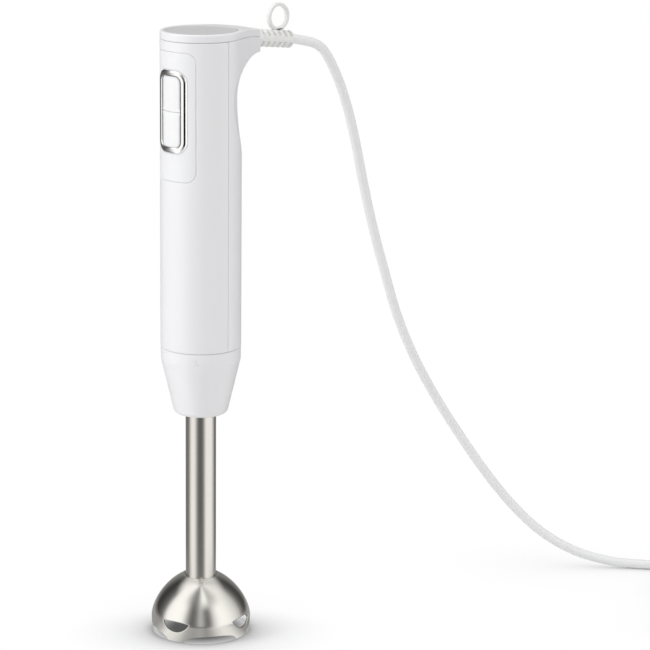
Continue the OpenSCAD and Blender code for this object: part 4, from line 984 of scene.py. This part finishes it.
def makeFrontShell(s, panel):
    r = s["radius"]
    bottom, top = s["floor"] + s["endDraw"], s["seam"] - s["gap"] - s["endDraw"]
    edge = math.asin(s["sideDraw"] / r)
    angles = np.linspace(-pi + edge, -edge, 101)
    # rows are close together round the panel
    middle, step = s["scoopFoot"], 0.9
    rows = np.concatenate([np.linspace(bottom, middle, 28), np.arange(middle + step, top - 0.4, step), [top]])

    def place(u, v):
        return np.stack([r * np.cos(u), r * np.sin(u), v], -1)

    def keep(u, v):
        grow = 2 * (panel["joint"] + panel["roll"])
        hole = roundRect(r * np.cos(u), v, panel["width"] + grow, panel["height"] + grow,
                         panel["corner"] + grow / 2, panel["middle"])
        return np.where(np.sin(u) < 0, -hole, 1.0)

    def roll(p):
        beside = abs(p[0]) < panel["width"] / 2 + 2 and abs(p[2] - panel["middle"]) < panel["height"] / 2 + 2
        return panel["roll"] if beside else panel["shellRoll"]

    points, faces = cutSheet(angles, rows, place, keep)
    p, f = rollEdges(points, faces, roll, s["wall"] - 0.5, 4)
    return solid("frontShell", p, f, "shellWhite", 50)


def makePanel(s, panel, bezel):
    halfWide, halfTall = panel["width"] / 2 + 0.7, panel["height"] / 2 + 0.9
    us = np.linspace(-halfWide, halfWide, 52)
    vs = np.arange(panel["middle"] - halfTall, panel["middle"] + halfTall, 0.8)

    def keep(u, v):
        shrink = 2 * panel["roll"]
        outer = roundRect(u, v, panel["width"] - shrink, panel["height"] - shrink,
                          panel["corner"] - shrink / 2, panel["middle"])
        room = panel["bezelGap"] + panel["bezelRoll"]
        hole = roundRect(u, v, bezel["width"] + 2 * room, bezel["height"] + 2 * room,
                         bezel["corner"] + room, bezel["middle"])
        return np.minimum(outer, -hole)

    def roll(p):
        near = 1.2
        beside = (abs(p[0]) < bezel["width"] / 2 + near
                  and abs(p[2] - bezel["middle"]) < bezel["height"] / 2 + near)
        return panel["bezelRoll"] if beside else panel["roll"]

    points, faces = cutSheet(us, vs, onHandle(s["radius"] - panel["sink"]), keep)
    p, f = rollEdges(points, faces, roll, panel["deep"], 4, panel["lip"])
    return solid("buttonPanel", p, f, "panelWhite", 50)


# path round a rounded rectangle, evenly spaced, with the outward direction at each point
def ringPath(wide, tall, corner):
    out, step = [], 0.6
    a, b = wide / 2 - corner, tall / 2 - corner
    sides = [((a + corner, -b), (a + corner, b), (1, 0)), ((a, b + corner), (-a, b + corner), (0, 1)),
             ((-a - corner, b), (-a - corner, -b), (-1, 0)), ((-a, -b - corner), (a, -b - corner), (0, -1))]
    corners = [((a, b), 0), ((-a, b), 90), ((-a, -b), 180), ((a, -b), 270)]
    for (p, q, n), ((cx, cy), start) in zip(sides, corners):
        p, q = np.array(p), np.array(q)
        k = max(2, int(np.linalg.norm(q - p) / step / 2))
        for t in np.linspace(0, 1, k, endpoint=False):
            out.append((*(p + (q - p) * t), *n))
        k = max(6, int(corner * pi / 2 / step))
        for t in np.linspace(0, 90, k, endpoint=False):
            d = (math.cos(math.radians(start + t)), math.sin(math.radians(start + t)))
            out.append((cx + corner * d[0], cy + corner * d[1], *d))
    return out


# chrome frame: a steep outer bevel, a crown, and a low edge that drops in beside the buttons
def makeBezel(s, b):
    inner = b["frame"]
    profile = roundOff([(0, -1.2, 0), (0, 0.0, 0.05), (0.4, 0.7, 0.07), (1.4, 1.0, 0.07), (3.0, 0.9, 0.12),
                        (inner, 0.5, 0.12), (inner, -3.0, 0)], 4, False)
    path = ringPath(b["width"], b["height"], b["corner"])
    points, m, n = [], len(profile), len(path)
    # the profile is laid inwards from the outline
    for x, z, nx, nz in path:
        for inward, lift in profile:
            px, r = x - nx * inward, s["radius"] + lift
            points.append((px, -math.sqrt(r * r - px * px), b["middle"] + z - nz * inward))
    faces = [(i * m + j, ((i + 1) % n) * m + j, ((i + 1) % n) * m + j + 1, i * m + j + 1)
             for i in range(n) for j in range(m - 1)]
    return solid("bezelRing", points, faces, "bezelChrome", 24)


buttonSet = {"gap": 0.16, "split": 0.14, "corner": 3.9, "proud": 0.75, "crown": 0.6, "roll": 1.4,
             "splitRoll": 0.35, "skirt": 3.0}


# crowned push button; side is 1 for the upper one and -1 for the lower one
def makeButton(name, s, b, k, side):
    wide = b["width"] - 2 * b["frame"] - 2 * k["gap"]
    holeTall = b["height"] - 2 * b["frame"] + 1.2
    tall = (holeTall - 2 * k["gap"] - k["split"]) / 2
    middle = b["middle"] + side * (tall + k["split"]) / 2
    inset, small = k["roll"], k["splitRoll"]
    us = np.linspace(-wide / 2, wide / 2, 38)
    vs = np.linspace(-tall / 2, tall / 2, 52)

    # how far the edge rolls over: wide round the frame, narrow along the split between the keys
    def edgeRoll(v):
        return small + (inset - small) * smoothStep(0.2, 3.0, v * side + tall / 2)

    def keep(u, v):
        across = np.abs(u) + edgeRoll(v) - inset
        size, v0 = (wide - 2 * inset, tall - inset - small), side * (small - inset) / 2
        rounded = roundRect(across, v, *size, k["corner"] - inset, v0)
        square = roundRect(across, v, *size, 0.15, v0)
        return np.where(v * side > 0, rounded, square)

    def place(u, v):
        dome = k["crown"] * (1 - (2 * u / wide) ** 2) * (1 - 0.25 * (2 * v / tall) ** 2)
        r = s["radius"] - 0.35 + k["proud"]
        return np.stack([u, -np.sqrt(r * r - u * u) - dome + 0.3, middle + v], -1)

    points, faces = cutSheet(us, vs, place, keep)
    p, f = rollEdges(points, faces, lambda p: 0.92 * float(edgeRoll(p[2] - middle)), k["skirt"], 6)
    return solid(name, p, f, "keyWhite", 60)


# lid over the handle with a round inlay
capSet = {"edge": 1.1, "groove": 0.35, "inlay": boxOf("cap_inlay")["high"][0], "sink": 0.45}


def makeCap(s, c):
    half = planOutline(s)
    back = np.vstack([half, [(-x, y) for x, y in half[:-1][::-1]]])
    r = s["radius"]
    front = [(r * math.cos(a), r * math.sin(a)) for a in np.linspace(pi, 2 * pi, 61)[1:-1]]
    plan = np.vstack([back, front])
    n = len(plan)
    e = c["edge"]
    # rows: how far in from the outline, and how high above the seam
    rise = s["top"] - s["seam"]
    rows = [(1.6, -0.17), (0.75, -0.17), (0.7, 0.0), (0.4, 0.0), (0.12, 0.1), (0.0, 0.4)]
    rows += [(0, up) for up in np.linspace(0.8, rise - e, 4)]
    rows += [(e * (1 - math.cos(a)), rise - e * (1 - math.sin(a))) for a in np.linspace(0.2, pi / 2, 7)]
    points, lengths = [], np.linalg.norm(plan, axis=1)
    for inward, up in rows:
        for i in range(n):
            p = plan[i] * (1 - inward / lengths[i])
            points.append((p[0], p[1], s["seam"] + up - float(crownDrop(s, p[1]))))
    # the top runs in to the inlay's rim, then drops into the seat
    rim = c["inlay"] + c["groove"]
    last = plan * (1 - e / lengths)[:, None]
    for t in (0.25, 0.5, 0.75, 0.93, 1.0):
        flatten = 1 - smoothStep(0.6, 1.0, t)
        for i in range(n):
            p = last[i] + (plan[i] / lengths[i] * rim - last[i]) * t
            fall = float(crownDrop(s, p[1])) * flatten + (0.06 if t == 1 else 0)
            points.append((p[0], p[1], s["top"] - fall))
    for radius, drop in ((rim - 0.12, 0.2), (rim - 0.12, 1.2), (rim - 3, 1.2)):
        points += [(*(plan[i] / lengths[i] * radius), s["top"] - drop) for i in range(n)]
    faces = ringFaces(len(points) // n, n)
    return solid("handleCap", points, faces, "shellWhite", 40)


def makeInlay(s, c):
    top, r = s["top"] - 0.02, c["inlay"]
    floor = top - c["sink"]
    outline = roundOff([(0.001, top - 1.0, 0), (r, top - 1.0, 0), (r, top - 0.05, 0.25), (r - 1.2, top, 0.3),
                        (r - 2.0, floor, 0.4), (0.001, floor, 0)], 4)
    return lathe("capInlay", outline, "inlayGrey", 120)


dress(makeRearShell(handleSet), "rear_housing", "handle")
dress(makeFrontShell(handleSet, panelSet), "front_housing", "handle")
dress(makePanel(handleSet, panelSet, bezelSet), "button_panel", "handle")
dress(makeBezel(handleSet, bezelSet), "button_bezel", "handle")
dress(makeCap(handleSet, capSet), "top_cap", "handle")
dress(makeInlay(handleSet, capSet), "cap_inlay", "handle")
for name, node, side in (("upperKey", "upper_button", 1), ("lowerKey", "lower_button", -1)):
    dress(makeButton(name, handleSet, bezelSet, buttonSet, side), node, node)
print("handle dressed")


# foot: white collar, steel tube, and a spun bell with vents and rim arches
collarBox, tubeBox, bellBox = boxOf("foot_collar"), boxOf("shaft_tube"), boxOf("bell_guard")
footSet = {"collarLow": collarBox["low"][2] + 2, "collarRadius": 17.2, "bandLow": 186,
           "radius": collarBox["high"][0], "joint": collarBox["high"][2], "ledge": 0.26,
           "tube": tubeBox["high"][0], "tubeWall": 0.8, "socket": 20.3, "socketFloor": 177.5, "chamber": 11.0,
           "chamberFloor": tubeBox["high"][2], "markTurn": 39, "markHeight": 188.6}
bellSet = {"radius": bellBox["high"][0], "rim": 32.0, "belly": 10, "rise": 31.4, "bulge": 1.6, "round": 1.8,
           "shoulder": 38.4, "neck": 10.25, "neckHeight": 37.4, "wall": 1.0, "turn": 16, "ventTip": 12.7,
           "ventCrown": 1.2, "ventWide": 20, "ventTall": 6.0, "archWide": 36, "archTall": 4.8, "edge": 0.3}


def makeCollar(s):
    bore, top, r = s["tube"] + 0.02, s["joint"], s["radius"]
    outline = roundOff([(bore, s["collarLow"], 0), (s["collarRadius"], s["collarLow"], 4.2),
                        (r, s["bandLow"], 3.0), (r, top, 0.5), (r - 0.75, top, 0.05),
                        (r - 0.8, top + s["ledge"], 0.05), (s["socket"], top + s["ledge"], 0.4),
                        (s["socket"], s["socketFloor"], 0.5), (s["chamber"], s["socketFloor"], 0.3),
                        (s["chamber"], s["chamberFloor"], 0), (bore, s["chamberFloor"], 0)], 6)
    collar = lathe("footCollar", outline, "shellWhite", 144, smooth=38)
    # raised arrow that shows how the foot turns into the handle
    tip, low, wide = 2.1, -1.9, 1.7
    points = []
    for lift, grow in ((-0.3, 0.25), (0.22, 0.25), (0.38, 0.0)):
        for x, z in ((-wide - grow, low - grow), (wide + grow, low - grow), (0, tip + 1.5 * grow)):
            a = math.radians(s["markTurn"] - 90) + x / r
            points.append(((r + lift) * math.cos(a), (r + lift) * math.sin(a), s["markHeight"] + z))
    faces = ringFaces(3, 3) + [(6, 7, 8), (2, 1, 0)]
    mark = solid("mark", points, faces, "shellWhite", 30)
    turnOutwards(mark)
    return joinPieces([collar, mark])


# the tube, with a small bead where it meets the bell
def makeTube(s, b):
    top, low, r = s["collarLow"] + 8, b["neckHeight"] - 0.35, s["tube"]
    outline = [(r - s["tubeWall"], low), (r + 0.1, low), (r + 0.3, low + 0.25), (r + 0.3, low + 0.7),
               (r + 0.05, low + 1.0), (r, low + 1.3), (r, top), (r - s["tubeWall"], top)]
    return lathe("steelTube", outline, "tubeSteel", 160, smooth=50)


# radius of the bell at a height: an arc down to the rim, and a flattened dome above it
def bellEdge(b, z, inset):
    low = b["radius"] - inset - (b["radius"] - b["rim"]) * ((b["belly"] - z) / b["belly"]) ** 2
    share = np.clip((z - b["belly"]) / (b["rise"] - inset), 0, 1)
    high = (b["radius"] - inset) * (1 - share ** b["bulge"]) ** (1 / b["round"])
    return np.where(z < b["belly"], low, high)


# signed distance to the nearest vent or arch, positive on the sheet
def bellKeep(b, u, r, z, spread):
    hole = np.full(np.shape(u), -1e3)
    reach = ((b["ventWide"] / 2) ** 2 + b["ventTall"] ** 2) / (2 * b["ventTall"])
    middle = b["ventTip"] - b["ventTall"] + reach
    for k in range(4):
        vent = math.radians(b["turn"] - 90 + 90 * k)
        x = r * np.sin(u - vent)
        brow = b["ventTip"] + b["ventCrown"] * (1 - (2 * x / b["ventWide"]) ** 2)
        lens = np.minimum(reach + spread - np.hypot(x, z - middle), brow + spread - z)
        hole = np.maximum(hole, np.where(np.cos(u - vent) > 0, lens, -1e3))
        x = r * np.sin(u - vent - pi / 4)
        share = (np.abs(x) / (b["archWide"] / 2 + spread)) ** 3 + (z / (b["archTall"] + spread)) ** 2
        hole = np.maximum(hole, np.where(np.cos(u - vent - pi / 4) > 0, 3 - 3 * share, -1e3))
    return -hole


# one wall of the bell: inset is how far in it lies, spread widens the holes by the roll's radius
def bellSheet(b, inset, spread, around, steps, top, low):
    # rows are even along the profile
    turns = np.linspace(0, 1, 400)
    high = b["belly"] + (top - b["belly"]) * np.sin(turns * pi / 2)
    zs = np.concatenate([np.linspace(low, b["belly"], 60), high[1:]])
    rs = bellEdge(b, zs, inset)
    # the top dips a little towards the tube
    zs = np.append(zs, b["neckHeight"] - inset)
    rs = np.append(rs, b["neck"])
    along = np.concatenate([[0], np.cumsum(np.hypot(np.diff(zs), np.diff(rs)))])
    vs = np.linspace(0, along[-1], steps)
    us = np.linspace(-pi, pi, around + 1)[:-1]

    def place(u, v):
        z = np.interp(v, along, zs)
        r = np.interp(v, along, rs)
        return np.stack([r * np.cos(u), r * np.sin(u), z], -1)

    def keep(u, v):
        return bellKeep(b, u, np.interp(v, along, rs), np.interp(v, along, zs), spread)

    return cutSheet(us, vs, place, keep, True)


def makeBell(b):
    e = b["edge"]
    outer, outerFaces = bellSheet(b, 0, e, 320, 80, b["shoulder"], e)
    p, f = rollEdges(outer, outerFaces, e, b["wall"] - 2 * e, 3)
    inner, innerFaces = bellSheet(b, b["wall"], 0.0, 240, 50, b["shoulder"] - b["wall"], 0.25)
    n = len(p)
    points = [tuple(q) for q in p] + [tuple(q) for q in inner]
    faces = list(f) + [tuple(i + n for i in g[::-1]) for g in innerFaces]
    return solid("bell", points, faces, "bellSteel", 45)


dress(makeCollar(footSet), "foot_collar", "foot")
dress(makeTube(footSet, bellSet), "shaft_tube", "foot")
dress(makeBell(bellSet), "bell_guard", "foot")

# two-wing blade with ground edges; the outer half of each wing is twisted
bladeSet = {"radius": 23, "height": 15, "thick": 1.2, "hub": 6.0, "boss": 4.6, "bossHigh": 5, "bore": 3.05,
            "half": 4.2, "twist": 14, "nutRadius": boxOf("blade_nut")["high"][0], "nutHigh": 4.5}


def makeBlade(s):
    # stations along a wing: distance, half width towards the cut, half width behind, twist in degrees
    reach, h = s["radius"], s["half"]
    stations = [(0, h, h, 0), (0.26, h, h, 0), (0.44, h, h, 0), (0.53, h, h, 0.25), (0.585, 4.15, 4.15, 0.75),
                (0.63, 4.1, 4.1, 1), (0.74, 4.0, 3.9, 1), (0.84, 3.7, 3.6, 1), (0.9, 3.3, 3.0, 1),
                (0.945, 2.7, 2.2, 1), (0.98, 1.7, 1.2, 1), (0.998, 0.7, 0.4, 1)]
    points, t = [], s["thick"]
    for share, ahead, behind, turn in stations:
        x = share * reach
        ground = smoothStep(0.2, 0.32, share)
        grind = min(1.7, ahead * 0.7) * ground
        a = math.radians(s["twist"] * turn)
        # across the wing: sharp leading edge, flat, small rounded rear
        ring = [(-ahead, 0.06 + (t / 2 - 0.06) * (1 - ground)), (-ahead + grind + 0.02, t), (0, t),
                (behind - 0.25, t), (behind, t - 0.25), (behind, 0.2), (behind - 0.2, 0), (0, 0),
                (-ahead + 0.02, 0)]
        for y, z in ring:
            along, up = y * math.cos(a) - z * math.sin(a), y * math.sin(a) + z * math.cos(a)
            points.append((x, along, s["height"] + up))
    n = len(ring)
    faces = ringFaces(len(stations), n) + endFaces(len(stations), n)
    wing = solid("wing", points, faces, "bladeSteel", 25)
    turnOutwards(wing)
    inRing.bake(wing, {"Count": 2, "Turn": pi, "Finish": finishes["bladeSteel"]}, 25)
    z, top = s["height"] - 0.02, s["height"] + t
    outline = [(s["bore"], z, 0), (s["hub"], z, 0.3), (s["hub"], top, 0.5), (s["boss"], top, 0.8),
               (s["boss"], top + s["bossHigh"], 0.5), (s["bore"], top + s["bossHigh"], 0.2)]
    hub = lathe("hub", roundOff(outline, 4), "bladeSteel", 72)
    blade = joinPieces([wing, hub], 25)
    blade.name = blade.data.name = "cuttingBlade"
    return blade


# domed hexagon nut under the blade
def makeNut(s):
    top, r, high = s["height"] - 0.05, s["nutRadius"], s["nutHigh"]
    sides, per, points = 6, 8, []
    # rings: how far down, radius, and how far the hexagon has become a circle
    rings = [(0.0, r, 0), (0.35, r, 0), (high - 1.3, r, 0), (high - 0.5, r * 0.93, 0.5), (high, r * 0.66, 1)]
    for drop, size, roundness in rings:
        for k in range(sides * per):
            a = 2 * pi * k / (sides * per)
            flat = math.cos(pi / sides) / math.cos(a % (2 * pi / sides) - pi / sides)
            grow = flat + (0.93 - flat) * roundness
            points.append((size * grow * math.cos(a), size * grow * math.sin(a), top - drop))
    faces = ringFaces(len(rings), sides * per) + endFaces(len(rings), sides * per)
    nut = solid("bladeNut", points, faces, "screwSteel", 30)
    turnOutwards(nut)
    return nut


dress(makeBlade(bladeSet), "blade", "spindle")
dress(makeNut(bladeSet), "blade_nut", "spindle")
print("foot dressed")


# studio: pale floor and white surroundings. Metal sees dark and bright bands round them too:
# stops are (degrees to the right of the camera, brightness). On the floor they are painted reflections, under
# the bell, further out and far out, that only shiny rays see; above it they hang beside the object and over
# it
studioSet = {"floor": 0.88, "glow": 0.06, "near": 0.025, "far": 0.1, "depth": 1.7, "ahead": 0.012,
             "fill": 0.6, "facing": cameraSet["azimuth"], "contact": 0.97, "farContact": 0.4,
             "insideLow": 0.03, "insideHigh": 0.36, "shine": 1.26, "floorShine": 1.12, "contactReach": 0.06,
             "overHeight": (0.6, 0.88), "glowReach": (0.017, 0.032), "bellReach": (0.0305, 0.0325),
             "lowReach": (0.11, 0.24), "distantReach": (0.7, 1.0)}
# lamps: place, the point they face, width, height and power
lampSet = {"keyLamp": ((-0.7, -1.7, 0.9), (0, 0, 0.22), 1.0, 1.4, 16.5),
           "sideLamp": ((1.6, 0.9, 0.6), (0, 0, 0.22), 0.8, 1.4, 4.2),
           "topLamp": ((0.1, 0.1, 2.0), (0, 0, 0), 1.4, 1.4, 12)}
shineBandSet = {
    "under": [(-180, 0.4), (-120, 0.33), (-88, 0.33), (-72, 0.5), (-56, 0.88), (-42, 0.82), (-32, 0.68),
              (-22, 0.42), (-12, 0.36), (0, 0.4), (9, 0.31), (18, 0.45), (28, 0.72), (38, 0.86), (50, 0.82),
              (62, 0.56), (74, 0.33), (100, 0.27), (125, 0.35), (180, 0.4)],
    "low": [(-180, 0.5), (-165, 0.3), (-138, 0.18), (-112, 0.18), (-96, 0.3), (-82, 0.8), (-72, 1.0),
            (-50, 1.0), (-40, 0.75), (-27, 0.32), (-14, 0.14), (7, 0.14), (17, 0.2), (28, 0.5), (38, 1.0),
            (84, 1.0), (98, 0.75), (116, 0.28), (128, 0.14), (150, 0.2), (180, 0.5)],
    "distant": [(-180, 0.5), (-165, 0.25), (-138, 0.1), (-112, 0.1), (-96, 0.3), (-82, 0.8), (-72, 1.0),
                (-50, 1.0), (-42, 0.85), (-33, 0.3), (-26, 0.02), (9, 0.02), (15, 0.25), (22, 0.8), (30, 1.0),
                (84, 1.0), (98, 0.6), (116, 0.1), (128, 0.04), (150, 0.08), (180, 0.5)],
    "high": [(-180, 0.25), (-158, 0.19), (-148, 0.1), (-138, 0.035), (-128, 0.035), (-114, 0.08),
             (-106, 0.13), (-99, 0.3), (-92, 0.85), (-82, 0.97), (-58, 0.99), (-48, 0.93), (-42, 0.75),
             (-34, 0.36), (-26, 0.13), (-18, 0.11), (-10, 0.22), (-2, 0.5), (5, 0.36), (13, 0.13),
             (22, 0.16), (29, 0.5), (38, 0.8), (47, 0.96), (62, 0.96), (78, 0.83), (94, 0.65),
             (104, 0.5), (114, 0.2), (126, 0.07), (140, 0.04), (158, 0.19)],
    "over": [(-180, 0.22), (-164, 0.27), (-155, 0.68), (-146, 0.8), (-137, 0.58), (-122, 0.72),
             (-106, 0.88), (-96, 0.97), (-68, 0.96), (-58, 0.8), (-50, 0.6), (-42, 0.42), (-34, 0.28),
             (-22, 0.18), (-10, 0.25), (-2, 0.58), (6, 0.94), (14, 1.0), (22, 0.9), (30, 0.48), (46, 0.46),
             (62, 0.65), (74, 0.79), (88, 0.82), (104, 0.72), (126, 0.54), (142, 0.64), (150, 0.72),
             (162, 0.48), (180, 0.22)]}


# a value that rises or falls smoothly with distance or height
def fade(finish, value, start, stop, low=0.0, high=1.0):
    return finish.add("ShaderNodeMapRange", {"interpolation_type": "SMOOTHSTEP"},
                      {0: value, 1: start, 2: stop, 3: low, 4: high})


# which kind of ray is being followed
def rayKinds(finish):
    seen, shiny, through = (finish.add("ShaderNodeLightPath", out=k) for k in (0, 3, 6))
    return seen + through, shiny


# brightness of a band pattern in each direction round the object, as seen in reflections
def shineBandsRound(finish, s, spot, shineBands):
    facing = math.radians(s["facing"])
    ahead = finish.add("ShaderNodeVectorMath", {"operation": "DOT_PRODUCT"},
                       {0: spot, 1: (math.sin(facing), -math.cos(facing), 0)}, out=1)
    aside = finish.add("ShaderNodeVectorMath", {"operation": "DOT_PRODUCT"},
                       {0: spot, 1: (math.cos(facing), math.sin(facing), 0)}, out=1)
    turn = finish.add("ShaderNodeMath", {"operation": "ARCTAN2"}, {0: aside, 1: ahead})
    shades = [(d / 360 + 0.5, (v, v * 0.985, v * 0.955, 1)) for d, v in shineBandSet[shineBands]]
    return finish.add("ShaderNodeValToRGB", {"stops": shades}, {0: turn / (2 * pi) + 0.5})


def makeSurroundings(s):
    world = bpy.data.worlds.new("surroundings")
    bpy.context.scene.world = world
    w = Finish("surroundings", world)
    spot = w.add("ShaderNodeTexCoord", out=0)
    height = w.add("ShaderNodeSeparateXYZ", None, {0: spot}, out=2)
    over = fade(w, height, *s["overHeight"])
    shineBands = w.blendColour(over, shineBandsRound(w, s, spot, "high"), shineBandsRound(w, s, spot, "over"))
    plain = w.add("ShaderNodeBackground", None, {"Color": (0.985, 0.99, 1, 1), "Strength": s["fill"]})
    shiny = w.add("ShaderNodeBackground", None, {"Color": shineBands, "Strength": s["shine"]})
    white = w.add("ShaderNodeBackground", None, {"Color": (1, 1, 1, 1), "Strength": 1.0})
    isSeen, isShiny = rayKinds(w)
    lit = w.add("ShaderNodeMixShader", None, {0: isShiny, 1: plain, 2: shiny})
    w.surface(w.add("ShaderNodeMixShader", None, {0: isSeen, 1: lit, 2: white}))


def makeFloor(s):
    mesh = bpy.data.meshes.new("floor")
    half, z = 6, -0.0002
    corners = [(-half, -half, z), (half, -half, z), (half, half, z), (-half, half, z)]
    mesh.from_pydata(corners, [], [(0, 1, 2, 3)])
    floor = bpy.data.objects.new("floor", mesh)
    bpy.context.scene.collection.objects.link(floor)
    f = Finish("floorPaper")
    spot = f.place((0.001, 0.001, 0.001))
    reach = f.add("ShaderNodeVectorMath", {"operation": "LENGTH"}, {0: spot}, out=1)
    # the shadow lies in an oval, wider than it is deep
    facing = math.radians(s["facing"])
    oval = f.add("ShaderNodeMapping", {"vector_type": "TEXTURE"},
                 {"Vector": spot, "Rotation": (0, 0, facing), "Scale": (1, 1 / s["depth"], 1),
                  "Location": (s["ahead"] * math.sin(facing), -s["ahead"] * math.cos(facing), 0)})
    ovalReach = f.add("ShaderNodeVectorMath", {"operation": "LENGTH"}, {0: oval}, out=1)
    away = fade(f, ovalReach, s["near"], s["far"])
    paper = f.add("ShaderNodeBsdfDiffuse", None, {"Color": grey(s["floor"])})
    # painted shadow: the paper's colour is darkened towards black by ambient occlusion round the foot, on top
    # of the shadows that the lamps cast
    near = f.add("ShaderNodeAmbientOcclusion", {"samples": 8}, {"Distance": s["contactReach"]}, out=1)
    paperWithPaintedShade = f.add("ShaderNodeBsdfDiffuse", None,
                   {"Color": f.blendColour(near ** s["contact"], grey(0.0), grey(s["floor"]))})
    # painted light: the floor under the bell glows, dim in the middle and brighter towards the rim, standing
    # in for light that gets in under it
    paintedLight = fade(f, reach, *s["glowReach"], s["insideLow"], s["insideHigh"])
    inside = fade(f, reach, *s["bellReach"], 1.0, 0.0)
    glow = f.add("ShaderNodeEmission", None, {"Color": (1, 1, 1, 1), "Strength": paintedLight * inside + s["glow"]})
    # painted shadow: the plain white far floor is dimmed by ambient occlusion, so the cord, coil and plug get
    # a soft shade under them
    white = f.add("ShaderNodeEmission", None, {"Color": (1, 1, 1, 1), "Strength": near ** s["farContact"]})
    # painted reflection: for shiny rays the floor is no paper but glows in bands of brightness round the
    # object, so the metal shows bright and dark streaks
    under, low, distant = (shineBandsRound(f, s, spot, name) for name in ("under", "low", "distant"))
    beyond = f.blendColour(fade(f, reach, *s["distantReach"]), low, distant)
    colours = f.blendColour(fade(f, reach, *s["lowReach"]), under, beyond)
    shineBands = f.add("ShaderNodeEmission", None, {"Color": colours, "Strength": s["floorShine"]})
    lit = f.add("ShaderNodeAddShader", None, {0: paperWithPaintedShade, 1: glow})
    faded = f.add("ShaderNodeMixShader", None, {0: away, 1: lit, 2: white})
    isSeen, isShiny = rayKinds(f)
    plain = f.add("ShaderNodeMixShader", None, {0: isShiny, 1: paper, 2: shineBands})
    mesh.materials.append(f.surface(f.add("ShaderNodeMixShader", None, {0: isSeen, 1: plain, 2: faded})))


def makeLamp(name, place, aim, wide, tall, power):
    data = bpy.data.lights.new(name, "AREA")
    data.shape, data.size, data.size_y, data.energy = "RECTANGLE", wide, tall, power
    lamp = bpy.data.objects.new(name, data)
    bpy.context.scene.collection.objects.link(lamp)
    lamp.location = place
    lamp.rotation_mode = "QUATERNION"
    lamp.rotation_quaternion = (Vector(aim) - Vector(place)).to_track_quat("-Z", "Y")
    lamp.visible_glossy = False


makeSurroundings(studioSet)
makeFloor(studioSet)
for name, values in lampSet.items():
    makeLamp(name, *values)
bpy.context.scene.view_settings.view_transform = "Standard"
print("studio made")
